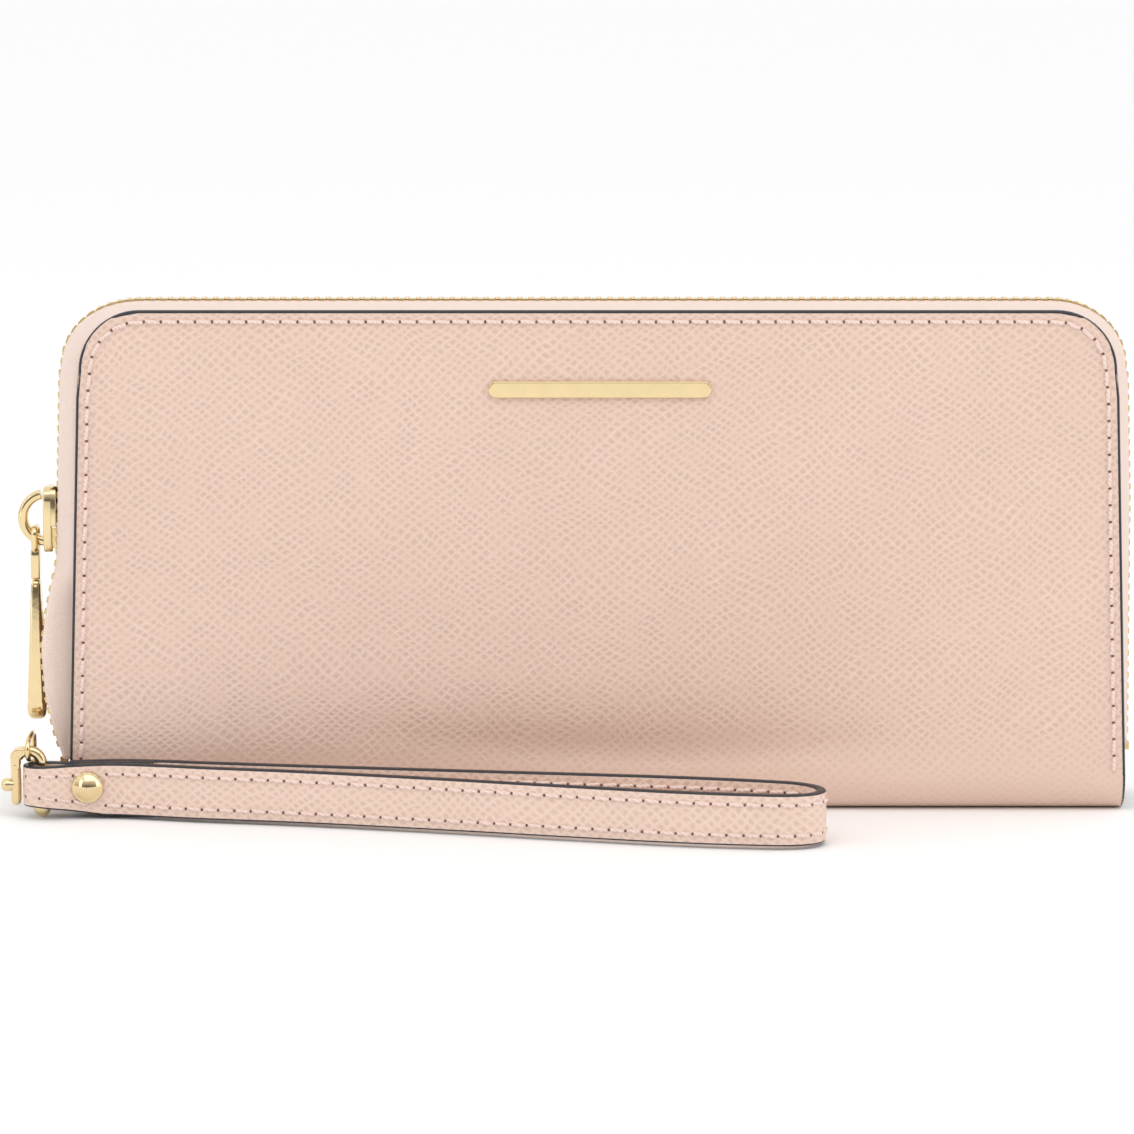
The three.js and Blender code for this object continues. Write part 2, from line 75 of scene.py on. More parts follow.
# ---- node helpers ---------------------------------------------------------------
class Mat:
    def __init__(self, name):
        self.m = bpy.data.materials.new(name)
        self.m.use_nodes = True
        self.t = self.m.node_tree
        self.b = self.t.nodes["Principled BSDF"]

    def n(self, kind, **kw):
        node = self.t.nodes.new(kind)
        for k, v in kw.items():
            setattr(node, k, v)
        return node

    def l(self, a, b):
        self.t.links.new(a, b)

    def math(self, op, a, b=None, c=None, clamp=False):
        node = self.n("ShaderNodeMath", operation=op)
        node.use_clamp = clamp
        for i, v in enumerate((a, b, c)):
            if v is None:
                continue
            if isinstance(v, (int, float)):
                node.inputs[i].default_value = v
            else:
                self.l(v, node.inputs[i])
        return node.outputs[0]

    def ramp(self, fac, stops):
        node = self.n("ShaderNodeValToRGB")
        els = node.color_ramp.elements
        while len(els) < len(stops):
            els.new(0.5)
        for e, (p, c) in zip(els, stops):
            e.position = p
            e.color = (*c, 1.0) if len(c) == 3 else c
        self.l(fac, node.inputs[0])
        return node.outputs[0]

    def rng(self, fac, a, b, c, d):
        node = self.n("ShaderNodeMapRange")
        node.inputs[1].default_value, node.inputs[2].default_value = a, b
        node.inputs[3].default_value, node.inputs[4].default_value = c, d
        self.l(fac, node.inputs[0])
        return node.outputs[0]

    def bump(self, height, strength, dist, normal=None):
        node = self.n("ShaderNodeBump")
        node.inputs["Strength"].default_value = strength
        node.inputs["Distance"].default_value = dist
        self.l(height, node.inputs["Height"])
        if normal is not None:
            self.l(normal, node.inputs["Normal"])
        return node.outputs[0]

    def uv(self, scale=(1, 1, 1), rot=0.0):
        u = self.n("ShaderNodeUVMap", uv_map="uv")
        mp = self.n("ShaderNodeMapping")
        mp.inputs["Scale"].default_value = scale
        mp.inputs["Rotation"].default_value = (0, 0, rot)
        self.l(u.outputs[0], mp.inputs[0])
        return mp.outputs[0]

    def obj(self, scale=(1, 1, 1)):
        u = self.n("ShaderNodeTexCoord")
        mp = self.n("ShaderNodeMapping")
        mp.inputs["Scale"].default_value = scale
        self.l(u.outputs["Object"], mp.inputs[0])
        return mp.outputs[0]

    def noise(self, vec, scale, detail=2.0, rough=0.5):
        node = self.n("ShaderNodeTexNoise")
        node.inputs["Scale"].default_value = scale
        node.inputs["Detail"].default_value = detail
        node.inputs["Roughness"].default_value = rough
        self.l(vec, node.inputs["Vector"])
        return node


def srgb(r, g, b):
    f = lambda c: (c / 255 / 12.92) if c / 255 <= 0.04045 else ((c / 255 + 0.055) / 1.055) ** 2.4
    return (f(r), f(g), f(b))


# ---- leather: pressed cross-grain, a lattice of fine slanting ridges round small dips --------
def leather(name, uv_mode=True, grain=1.0, tint=(1, 1, 1), rough=0.36, fold=False):
    k = Mat(name)
    base = k.uv() if uv_mode else k.obj()
    # the lattice wanders, so the rows aren't ruled
    wob = k.noise(base, 420.0, 1.0)
    wide = k.noise(base, 70.0, 1.0)
    m1 = k.n("ShaderNodeVectorMath", operation="MULTIPLY_ADD")
    k.l(wob.outputs["Color"], m1.inputs[0])
    m1.inputs[1].default_value = (0.0009, 0.0009, 0.0009)
    k.l(base, m1.inputs[2])
    m2 = k.n("ShaderNodeVectorMath", operation="MULTIPLY_ADD")
    k.l(wide.outputs["Color"], m2.inputs[0])
    m2.inputs[1].default_value = (0.004, 0.004, 0.004)
    k.l(m1.outputs[0], m2.inputs[2])
    vec = m2.outputs[0]

    def wave(deg, pitch):
        d = k.n("ShaderNodeVectorMath", operation="DOT_PRODUCT")
        k.l(vec, d.inputs[0])
        a = math.radians(deg)
        d.inputs[1].default_value = (math.cos(a) * math.pi / pitch, math.sin(a) * math.pi / pitch, 0.31 * math.pi / pitch)
        return k.math("ABSOLUTE", k.math("SINE", d.outputs["Value"]))

    s1, s2 = wave(50, 0.00134), wave(127, 0.00142)
    r1 = k.rng(s1, 0.0, 0.50, 1.0, 0.0)
    r2 = k.rng(s2, 0.0, 0.45, 0.85, 0.0)
    lat = k.math("MAXIMUM", r1, r2)
    pit = k.rng(k.math("MULTIPLY", s1, s2), 0.45, 1.0, 0.0, 1.0)
    patch = k.rng(k.noise(base, 240.0, 2.0).outputs["Fac"], 0.3, 0.62, 0.35, 1.0)
    fine = k.noise(base, 2600.0, 3.0, 0.6)
    h0 = k.math("MULTIPLY_ADD", pit, -0.55, k.math("MULTIPLY", lat, 0.6))
    h1 = k.math("MULTIPLY", h0, patch)
    if fold:
        # the grain is stretched flat where the leather turns under
        sep = k.n("ShaderNodeSeparateXYZ")
        k.l(base, sep.inputs[0])
        smooth = k.rng(k.math("ABSOLUTE", k.math("SUBTRACT", sep.outputs[1], 0.0985)), 0.008, 0.020, 0.22, 1.0)
        h1 = k.math("MULTIPLY", h1, smooth)
    h2 = k.math("MULTIPLY_ADD", fine.outputs["Fac"], 0.12, h1)
    big = k.noise(base, 26.0, 3.0, 0.55)
    mul = lambda c: tuple(p * q for p, q in zip(c, tint))
    # the colour darkens into the grain's dips and lightens on its ridges: painted shade in the dips and painted
    # highlight on the ridges
    c1 = k.ramp(k.rng(h1, -0.55, 0.6, 0.0, 1.0), [(0.0, mul(srgb(208, 176, 160))), (0.32, mul(srgb(217, 186, 170))),
                     (0.5, mul(srgb(223, 193, 177))), (1.0, mul(srgb(234, 207, 193)))])
    c2 = k.n("ShaderNodeMix", data_type="RGBA", blend_type="MULTIPLY")
    c2.inputs[0].default_value = 1.0
    tone = k.ramp(big.outputs["Fac"], [(0.3, (0.965, 0.96, 0.955)), (0.7, (1.0, 1.0, 1.0))])
    k.l(c1, c2.inputs[6]); k.l(tone, c2.inputs[7])
    k.l(c2.outputs[2], k.b.inputs["Base Color"])
    r = k.math("MULTIPLY_ADD", fine.outputs["Fac"], 0.14, rough - 0.05)
    r2 = k.math("MULTIPLY_ADD", h1, -0.07, r)
    k.l(r2, k.b.inputs["Roughness"])
    k.b.inputs["Specular IOR Level"].default_value = 0.5
    k.b.inputs["Coat Weight"].default_value = 0.15
    k.b.inputs["Coat Roughness"].default_value = 0.3
    k.l(k.bump(h2, 0.6 * grain, 0.00022), k.b.inputs["Normal"])
    return k.m


def paint_edge():
    k = Mat("edge_paint")
    o = k.obj()
    nz = k.noise(o, 900.0, 3.0)
    c = k.ramp(nz.outputs["Fac"], [(0.3, srgb(26, 30, 37)), (0.75, srgb(46, 48, 56))])
    k.l(c, k.b.inputs["Base Color"])
    k.l(k.rng(nz.outputs["Fac"], 0.3, 0.8, 0.32, 0.5), k.b.inputs["Roughness"])
    k.l(k.bump(nz.outputs["Fac"], 0.25, 0.0001), k.b.inputs["Normal"])
    return k.m


def thread():
    k = Mat("stitch_thread")
    o = k.obj()
    w = k.n("ShaderNodeTexWave", wave_type="BANDS", bands_direction="DIAGONAL")
    w.inputs["Scale"].default_value = 700.0
    w.inputs["Distortion"].default_value = 0.6
    k.l(o, w.inputs["Vector"])
    c = k.ramp(w.outputs["Fac"], [(0.0, srgb(230, 200, 187)), (0.6, srgb(243, 221, 210))])
    k.l(c, k.b.inputs["Base Color"])
    k.b.inputs["Roughness"].default_value = 0.55
    k.b.inputs["Sheen Weight"].default_value = 0.3
    k.l(k.bump(w.outputs["Fac"], 0.5, 0.0001), k.b.inputs["Normal"])
    return k.m


# stitch holes: dark discs laid on the surface stand in for the shade inside the needle holes, painted shade
def hole():
    k = Mat("stitch_hole_shade")
    nz = k.noise(k.obj(), 1500.0)
    k.l(k.ramp(nz.outputs["Fac"], [(0.3, srgb(104, 72, 62)), (0.7, srgb(138, 102, 90))]), k.b.inputs["Base Color"])
    k.b.inputs["Roughness"].default_value = 0.9
    return k.m


def tape_mat():
    # herringbone twill: columns of slanting ribs that change direction
    k = Mat("zip_tape_weave")
    uv = k.uv()
    sep = k.n("ShaderNodeSeparateXYZ")
    k.l(uv, sep.inputs[0])
    x = k.math("MULTIPLY", sep.outputs[0], 1000.0)      # along the zip, mm
    y = k.math("MULTIPLY", sep.outputs[1], 1000.0)      # across, mm
    col = k.math("PINGPONG", y, 0.62)
    s = k.math("ADD", x, k.math("MULTIPLY", col, 1.3))
    rib = k.math("ABSOLUTE", k.math("SINE", k.math("MULTIPLY", s, 6.6)))
    yarn = k.math("ABSOLUTE", k.math("SINE", k.math("MULTIPLY", y, 15.0)))
    h = k.math("MULTIPLY_ADD", yarn, 0.3, rib)
    nz = k.noise(uv, 1800.0, 2.0)
    hh = k.math("MULTIPLY_ADD", nz.outputs["Fac"], 0.25, h)
    c = k.ramp(k.math("MULTIPLY", hh, 0.65), [(0.0, srgb(224, 186, 170)), (0.5, srgb(247, 218, 203)), (1.0, srgb(255, 240, 230))])
    k.l(c, k.b.inputs["Base Color"])
    k.b.inputs["Roughness"].default_value = 0.85
    k.b.inputs["Sheen Weight"].default_value = 0.35
    k.b.inputs["Sheen Roughness"].default_value = 0.5
    k.l(k.bump(hh, 0.6, 0.00018), k.b.inputs["Normal"])
    return k.m


def gold(name, rough, col=(234, 211, 164), scratch=0.05):
    k = Mat(name)
    o = k.obj()
    nz = k.noise(o, 420.0, 3.0, 0.55)
    fine = k.noise(o, 5200.0, 2.0, 0.6)
    a = srgb(*col)
    c = k.ramp(nz.outputs["Fac"], [(0.25, tuple(v * 0.94 for v in a)), (0.75, a)])
    k.l(c, k.b.inputs["Base Color"])
    k.b.inputs["Metallic"].default_value = 1.0
    k.l(k.math("ADD", k.math("MULTIPLY", fine.outputs["Fac"], scratch), rough), k.b.inputs["Roughness"])
    k.l(k.bump(nz.outputs["Fac"], 0.04, 0.0003), k.b.inputs["Normal"])
    return k.m


def cloth_mat(name, c0, c1, pitch=2200.0):
    k = Mat(name)
    o = k.obj()
    sep = k.n("ShaderNodeSeparateXYZ")
    k.l(o, sep.inputs[0])
    a = k.math("SINE", k.math("MULTIPLY", sep.outputs[0], pitch * 3))
    b = k.math("SINE", k.math("MULTIPLY", sep.outputs[2], pitch * 3))
    d = k.math("SINE", k.math("MULTIPLY", sep.outputs[1], pitch * 3))
    w = k.math("ADD", k.math("MULTIPLY", a, b), k.math("MULTIPLY", d, 0.5))
    nz = k.noise(o, 300.0, 3.0)
    f = k.math("MULTIPLY_ADD", w, 0.2, nz.outputs["Fac"])
    k.l(k.ramp(f, [(0.2, c0), (0.8, c1)]), k.b.inputs["Base Color"])
    k.b.inputs["Roughness"].default_value = 0.82
    k.b.inputs["Sheen Weight"].default_value = 0.25
    k.l(k.bump(w, 0.3, 0.0001), k.b.inputs["Normal"])
    return k.m


M_LEATHER = leather("leather_cross_grain", tint=(1.06, 1.07, 1.06), fold=True)
# the strap's leather is the cover's leather painted lighter (tint 1.12 to 1.16 against 1.06): painted light
M_STRAP = leather("leather_strap", grain=0.85, tint=(1.12, 1.16, 1.16))
M_INNER = leather("leather_inner", uv_mode=False, grain=0.7, tint=(0.97, 0.95, 0.94), rough=0.45)
M_EDGE, M_THREAD, M_HOLE_SHADE, M_TAPE = paint_edge(), thread(), hole(), tape_mat()
M_GOLD = gold("gold_polished", 0.07)
M_TOOTH = gold("gold_teeth", 0.22, (222, 196, 140), 0.1)
M_LINING = cloth_mat("lining_weave", srgb(206, 172, 156), srgb(226, 196, 182))
M_BOARD = cloth_mat("board_fibre", srgb(150, 132, 112), srgb(176, 158, 136), 400.0)


# ---- mesh helpers -------------------------------------------------------------------
def make(name, verts, faces, mats, body, face_mats=None, uvs=None, smooth=True):
    me = bpy.data.meshes.new(name)
    me.from_pydata([(x * MM, y * MM, z * MM) for x, y, z in verts], [], faces)
    me.update()
    ob = bpy.data.objects.new(name, me)
    bpy.context.scene.collection.objects.link(ob)
    for m in (mats if isinstance(mats, (list, tuple)) else [mats]):
        me.materials.append(m)
    if face_mats:
        for p, i in zip(me.polygons, face_mats):
            p.material_index = i
    if uvs is not None:
        layer = me.uv_layers.new(name="uv")
        for p in me.polygons:
            for li in p.loop_indices:
                layer.data[li].uv = uvs[me.loops[li].vertex_index]
    for p in me.polygons:
        p.use_smooth = smooth
    bm = bmesh.new(); bm.from_mesh(me)
    bmesh.ops.recalc_face_normals(bm, faces=bm.faces)
    bm.to_mesh(me); bm.free()
    if body:
        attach(ob, body)
    return ob


def arc(cx, cy, r, a0, a1, n):
    return [(cx + r * math.cos(math.radians(a0 + (a1 - a0) * i / n)), cy + r * math.sin(math.radians(a0 + (a1 - a0) * i / n))) for i in range(n + 1)]


def join(parts, name):
    """merges (verts, faces) lists"""
    V, F = [], []
    for v, f in parts:
        o = len(V)
        V += list(v)
        F += [tuple(i + o for i in q) for q in f]
    return V, F


def capsule(p, q, r, n=6, rings=2):
    """rounded thread segment from p to q"""
    p, q = Vector(p), Vector(q)
    t = (q - p).normalized()
    a = t.orthogonal().normalized(); b = t.cross(a)
    V, F = [], []
    prof = [(-1, 0.0)] + [(-math.cos(math.pi / 2 * i / rings), math.sin(math.pi / 2 * i / rings)) for i in range(1, rings + 1)]
    st = [(p + t * r * (1 + c), s) for c, s in prof] + [(q - t * r * (1 + c), s) for c, s in reversed(prof)]
    for c, s in st:
        for k in range(n):
            an = 2 * math.pi * k / n
            V.append(tuple(c + (a * math.cos(an) + b * math.sin(an)) * r * max(s, 0.05)))
    m = len(st)
    for i in range(m - 1):
        for k in range(n):
            F.append((i * n + k, i * n + (k + 1) % n, (i + 1) * n + (k + 1) % n, (i + 1) * n + k))
    F.append(tuple(reversed(range(n)))); F.append(tuple((m - 1) * n + k for k in range(n)))
    return V, F


def blob(c, ax, ay, az, n=8, m=5):
    """ellipsoid with half axes given as vectors"""
    c, ax, ay, az = Vector(c), Vector(ax), Vector(ay), Vector(az)
    V, F = [tuple(c - az)], []
    for i in range(1, m):
        ph = math.pi * i / m - math.pi / 2
        for k in range(n):
            a = 2 * math.pi * k / n
            V.append(tuple(c + ax * math.cos(ph) * math.cos(a) + ay * math.cos(ph) * math.sin(a) + az * math.sin(ph)))
    V.append(tuple(c + az))
    for k in range(n):
        F.append((0, 1 + (k + 1) % n, 1 + k))
        for i in range(m - 2):
            F.append((1 + i * n + k, 1 + i * n + (k + 1) % n, 1 + (i + 1) * n + (k + 1) % n, 1 + (i + 1) * n + k))
        F.append((1 + (m - 2) * n + k, 1 + (m - 2) * n + (k + 1) % n, len(V) - 1))
    return V, F


def tube(pts, r, seg=12, closed=False, squash=None, up=None, power=1.0):
    """round (or flattened) rod along points; squash=(ra, rb) gives the half sizes across and along up"""
    n = len(pts)
    P = [Vector(p) for p in pts]
    V, F = [], []
    a_prev = None
    for i in range(n):
        t = ((P[(i + 1) % n] - P[i - 1]) if closed else (P[min(n - 1, i + 1)] - P[max(0, i - 1)])).normalized()
        if up is not None:
            b = Vector(up); b = (b - t * b.dot(t)).normalized()
            a = b.cross(t)
        else:
            a = (a_prev - t * a_prev.dot(t)).normalized() if a_prev is not None else t.orthogonal().normalized()
            b = t.cross(a)
        a_prev = a
        ra, rb = squash if squash else (r, r)
        for k in range(seg):
            an = 2 * math.pi * k / seg
            ca, sa = math.cos(an), math.sin(an)
            ca, sa = math.copysign(abs(ca) ** power, ca), math.copysign(abs(sa) ** power, sa)
            V.append(tuple(P[i] + a * ra * ca + b * rb * sa))
    for i in range(n if closed else n - 1):
        j = (i + 1) % n
        for k in range(seg):
            F.append((i * seg + k, i * seg + (k + 1) % seg, j * seg + (k + 1) % seg, j * seg + k))
    if not closed:
        F.append(tuple(reversed(range(seg)))); F.append(tuple((n - 1) * seg + k for k in range(seg)))
    return V, F


def prism(pts, axis, lo, hi, other=None):
    """closed prism of an outline; axis 'x','y','z' is the extrusion direction"""
    n = len(pts)
    put = {"x": lambda p, h: (h, p[0], p[1]), "y": lambda p, h: (p[0], h, p[1]), "z": lambda p, h: (p[0], p[1], h)}[axis]
    V = [put(p, lo) for p in pts] + [put(p, hi) for p in (other or pts)]
    F = [tuple(range(n)), tuple(reversed(range(n, 2 * n)))] + [(i, i + n, (i + 1) % n + n, (i + 1) % n) for i in range(n)]
    return V, F


def boxy(x0, x1, y0, y1, z0, z1):
    return prism([(x0, y0), (x1, y0), (x1, y1), (x0, y1)], "z", z0, z1)


def bevel(ob, width, seg=3, angle=30, sub=0):
    bm = bmesh.new(); bm.from_mesh(ob.data)
    edges = [e for e in bm.edges if len(e.link_faces) == 2 and e.calc_face_angle(0) > math.radians(angle)]
    bmesh.ops.bevel(bm, geom=edges, offset=width * MM, segments=seg, profile=0.6, affect="EDGES", clamp_overlap=True)
    for f in bm.faces:
        f.smooth = True
    bm.to_mesh(ob.data); bm.free()
    md = ob.modifiers.new("wn", "WEIGHTED_NORMAL"); md.keep_sharp = True
    return ob


# ---- leather cover: one skin from the front's top edge, round the spine, to the back's top edge ----
def profile_points():
    """(y, z, outward normal y, outward normal z, arc length) of the outside of the cover at its middle"""
    P = []
    zs = [TOP - 0.0, 94.2, 93.6, 92.6, 91.2, 89.6, 87.8, 86.0, 84.4, 83.0] + [83 - i * 2.0 for i in range(1, 34)] + [15.0, 13.5, 12.0, 10.5, 9.0, 7.6, 6.4]
    for z in zs:
        P.append((-HD, z, -1.0, 0.0))
    for y, z in arc(-HD + SR, SR, SR, 183, 270, 12):
        a = math.atan2(z - SR, y + HD - SR)
        P.append((y, z, math.cos(a), math.sin(a)))
    for y in (-4.0, -2.0, 0.0, 2.0, 4.0):
        P.append((y, 0.0, 0.0, -1.0))
    for y, z in arc(HD - SR, SR, SR, 270, 357, 12):
        a = math.atan2(z - SR, y - HD + SR)
        P.append((y, z, math.cos(a), math.sin(a)))
    for z in reversed(zs):
        P.append((HD, z, 1.0, 0.0))
    out, s = [], 0.0
    for i, p in enumerate(P):
        if i:
            s += math.hypot(p[0] - P[i - 1][0], p[1] - P[i - 1][1])
        out.append((*p, s))
    return out


def gauss(x, c, w):
    return math.exp(-((x - c) / w) ** 2)


def sstep(a, b, x):
    t = min(1, max(0, (x - a) / (b - a)))
    return t * t * (3 - 2 * t)


def face_push(x, z, front):
    """how far the panel stands proud of its flat face (mm, outwards)"""
    edge = min(1.0, max(0.0, (HWT - abs(x)) / 9.0)) * min(1.0, max(0.0, (TOP - z) / 8.0))
    edge = edge * edge * (3 - 2 * edge)
    p = 0.35 * edge * (0.75 + 0.25 * math.cos(x / 70.0)) * sstep(10, 34, z)
    if front:
        # soft hollow above the rolled fold, deepest right of the middle, and the roll under it
        win = sstep(-62, -8, x) * (1 - sstep(44, 66, x))
        mid = 11.6 + 0.0009 * (x - 14) ** 2
        p -= 1.10 * win * gauss(z, mid, 3.5) * (1 + 0.25 * math.cos((x - 16) / 16))
        p += 0.60 * win * gauss(z, 23.0, 7.0)
        p += 0.45 * gauss(z, 7.4, 2.4) * (0.6 + 0.4 * sstep(30, 70, x)) * (1 - sstep(86, 99, abs(x)))
        p += 0.28 * sstep(40, 66, x) * gauss(z, 20.0, 9.0) * (1 - sstep(86, 98, x))
        p += 0.10 * math.sin(x / 23.0 + 0.6) * gauss(z, 34, 20) * edge
    else:
        p += 0.18 * math.sin(x / 31.0) * gauss(z, 30, 24) * edge
    return max(p, -1.15)


def cover_half(z, y_sign_panel):
    """half width of the skin at height z"""
    w = half_at(z)
    zc, xc = TOP - CR, HWT - CR
    if z > zc:
        w = min(w, xc + math.sqrt(max(0.0, CR * CR - (z - zc) ** 2)))
    return w


NX = 72
prof = profile_points()
V, UV, F, FM = [], [], [], []
cols = [-1 + 2 * i / NX for i in range(NX + 1)]
cols = [math.copysign(1 - (1 - abs(u)) ** 1.25, u) if abs(u) > 0.8 else u * (1 - 0.2 ** 1.25) / 0.8 for u in cols]
rows = len(prof)
mid_s = prof[rows // 2][4]
for layer, inset in ((0, 0.0), (1, SKIN)):
    for (y, z, ny, nz, s) in prof:
        w = cover_half(z, 0) - 0.35
        for u in cols:
            x = u * w
            push = face_push(x, z, y < 0) if abs(y) > HD - 0.8 else 0.0
            if abs(y) <= HD - 0.8 and z < 6.5 and y < 0:
                push = 0.45 * gauss(8.0, 8.0 - (6.0 - z) * -0.0, 2.6) * 0.0
            V.append((x, y + ny * (push - inset), z + nz * (push - inset) + (0.35 * -1 if z > TOP - 0.1 else 0)))
            UV.append((x * MM, s * MM))
m = NX + 1
off = rows * m
for i in range(rows - 1):
    for j in range(NX):
        a, b, c, d = i * m + j, i * m + j + 1, (i + 1) * m + j + 1, (i + 1) * m + j
        F.append((a, b, c, d)); FM.append(0)
        F.append((off + a, off + d, off + c, off + b)); FM.append(1)
    for j in (0, NX):
        a, d = i * m + j, (i + 1) * m + j
        F.append((a, d, off + d, off + a)); FM.append(2)
for j in range(NX):
    a, b = j, j + 1
    F.append((a, off + a, off + b, b)); FM.append(2)
    a, b = (rows - 1) * m + j, (rows - 1) * m + j + 1
    F.append((a, b, off + b, off + a)); FM.append(2)
cover = make("cover_skin", V, F, [M_LEATHER, M_INNER, M_EDGE], None, FM, UV)
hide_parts("front_cover", "back_cover")
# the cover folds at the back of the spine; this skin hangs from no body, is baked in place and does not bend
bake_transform(cover)


# ---- painted edge: a soft bead round each panel and along the spine's ends ------------------
def edge_loop(side, d=0.0):
    """points of the panel's edge from the spine up, over the top and down again, at mid thickness"""
    y = side * (HD - SKIN / 2)
    pts = []
    zs = [7.0 + i * 4.0 for i in range(19)]
    zs = [z for z in zs if z < TOP - CR - 1]
    for z in zs:
        pts.append((-half_at(z) + 0.35 + d, y, z))
    for x, z in arc(-(HWT - CR), TOP - CR, CR - 0.35 - d, 180, 90, 14):
        pts.append((x, y, z))
    for x in range(-72, 73, 12):
        pts.append((x, y, TOP - 0.35 - d))
    for x, z in arc(HWT - CR, TOP - CR, CR - 0.35 - d, 90, 0, 14):
        pts.append((x, y, z))
    for z in reversed(zs):
        pts.append((half_at(z) - 0.35 - d, y, z))
    return pts


for side, body, nm in ((-1, "front_shell", "edge_paint_front"), (1, "back_shell", "edge_paint_back")):
    v, f = tube(edge_loop(side), 0.5, 10, squash=(0.42, SKIN / 2 + 0.05), up=(0, 1, 0))
    make(nm, v, f, M_EDGE, body)
# the spine's two ends: the same bead round the bottom
for sx, nm in ((-1, "edge_paint_spine_left"), (1, "edge_paint_spine_right")):
    r = SR - SKIN / 2
    pts = [(sx * (half_at(6.5) - 0.35), y, z) for y, z in
           [(-HD + SKIN / 2, 7.0)] + arc(-HD + SR, SR, r, 180, 270, 10) + [(0, SKIN / 2)] + arc(HD - SR, SR, r, 270, 360, 10) + [(HD - SKIN / 2, 7.0)]]
    v, f = tube(pts, 0.5, 10, squash=(SKIN / 2 + 0.05, 0.42), up=(1, 0, 0))
    e = make(nm, v, f, M_EDGE, None)
    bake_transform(e)


# ---- stitching ----------------------------------------------------------------------------------
def resample(pts, step, closed=False):
    P = [Vector(p) for p in pts]
    out, acc = [P[0]], 0.0
    for a, b in zip(P, P[1:]):
        L = (b - a).length
        while L > 1e-9 and acc + L >= step:
            t = (step - acc) / L
            a = a + (b - a) * t
            out.append(a.copy()); L = (b - a).length; acc = 0.0
        acc += L
    return out


def stitches(name, pts, normal_of, body, pitch=3.2, r=0.40, duty=0.88, tilt=0.26):
    P = resample(pts, pitch)
    parts, holes = [], []
    for i, (a, b) in enumerate(zip(P, P[1:])):
        n = Vector(normal_of(a)).normalized(); t = (b - a).normalized(); s = n.cross(t)
        p = a + t * pitch * (1 - duty) / 2 + s * tilt * 0.5 + n * 0.16
        q = b - t * pitch * (1 - duty) / 2 - s * tilt * 0.5 + n * 0.16
        parts.append(capsule(p, q, r, 7, 2))
        # a dark disc at each needle hole: painted shade
        holes.append(blob(a + n * 0.03, t * 0.25, s * 0.33, n * 0.10, 8, 4))
    v, f = join(parts, name)
    make(name, v, f, M_THREAD, body)
    v, f = join(holes, name)
    make(name + "_hole_shade", v, f, M_HOLE_SHADE, body)


def on_front(x, z, side):
    return (x, side * (HD + face_push(x, z, side < 0)), z)


for side, body, nm in ((-1, "front_shell", "stitching_front"), (1, "back_shell", "stitching_back")):
    path = [on_front(x, z, side) for (x, y, z) in edge_loop(side, 1.75)]
    lo = [8.5]
    first, last = path[0], path[-1]
    stitches(nm, path, lambda p, s=side: (0, s, 0), body)


# ---- zip tapes and teeth --------------------------------------------------------------------------
def zip_path():
    P = []
    z = 9.6
    while z < TOP - CR:
        P.append((-half_at(z), z, -1.0, 0.0)); z += 1.0 if z < 50 else 2.0
    for i in range(17):
        a = math.radians(180 - 90 * i / 16)
        P.append((-(HWT - CR) + CR * math.cos(a), TOP - CR + CR * math.sin(a), math.cos(a), math.sin(a)))
    for x in range(-84, 85, 6):
        P.append((x, TOP, 0.0, 1.0))
    for i in range(17):
        a = math.radians(90 - 90 * i / 16)
        P.append((HWT - CR + CR * math.cos(a), TOP - CR + CR * math.sin(a), math.cos(a), math.sin(a)))
    z = TOP - CR - 2.1
    while z > 11.6:
        P.append((half_at(z), z, 1.0, 0.0)); z -= 2.0
    return P


KEYS = [(9, 1.2, -5.4), (10, 1.4, -5.5), (14, 2.9, -5.8), (22, 4.9, -6.2), (31, 5.8, -6.2), (38, 5.0, -6.0), (43, 4.2, -5.3), (45.5, 3.8, -3.2), (48, CHAIN_SIDE, 0.0)]


def chain_at(p):
    x, z = p[0], p[1]
    side = CHAIN_SIDE if p[2] <= 0 else CHAIN_RIGHT - (1.2 * (60 - z) / 48 if z < 60 else 0.0)
    closed = side * p[2] ** 2 + CHAIN_TOP * p[3] ** 2
    if x > 0 or z >= 48:
        return closed, 0.0
    for a, b in zip(KEYS, KEYS[1:]):
        if z <= b[0]:
            t = (z - a[0]) / (b[0] - a[0]); t = max(0.0, t)
            return a[1] + (b[1] - a[1]) * t, a[2] + (b[2] - a[2]) * t
    return closed, 0.0


ZP = zip_path()
ZS = [0.0]
for a, b in zip(ZP, ZP[1:]):
    ZS.append(ZS[-1] + math.hypot((b[0] + b[2] * 3) - (a[0] + a[2] * 3), (b[1] + b[3] * 3) - (a[1] + a[3] * 3)))


def tape_section(p):
    n, dy = chain_at(p)
    op = min(1.0, -dy / 5)
    yE = -1.9 + dy
    mid = (n, -4.4 + (yE + 4.4 - 1.4) * op)
    ctrl = [(-0.9, -9.0), (0.35 + 0.3 * (n - CHAIN_SIDE), -9.0), mid, (n, yE)]
    out = []
    # quadratic smoothing of the corner chain
    segs = [(ctrl[0], ctrl[0], ctrl[1]), (ctrl[1], ctrl[1], ctrl[2]), (ctrl[2], ctrl[2], ctrl[3])]
    for a, _, b in segs:
        for k in range(4):
            t = k / 4
            out.append((a[0] + (b[0] - a[0]) * t, a[1] + (b[1] - a[1]) * t))
    out.append(ctrl[3])
    for _ in range(2):
        out = [out[0]] + [((out[i - 1][0] + 2 * out[i][0] + out[i + 1][0]) / 4, (out[i - 1][1] + 2 * out[i][1] + out[i + 1][1]) / 4) for i in range(1, len(out) - 1)] + [out[-1]]
    return out


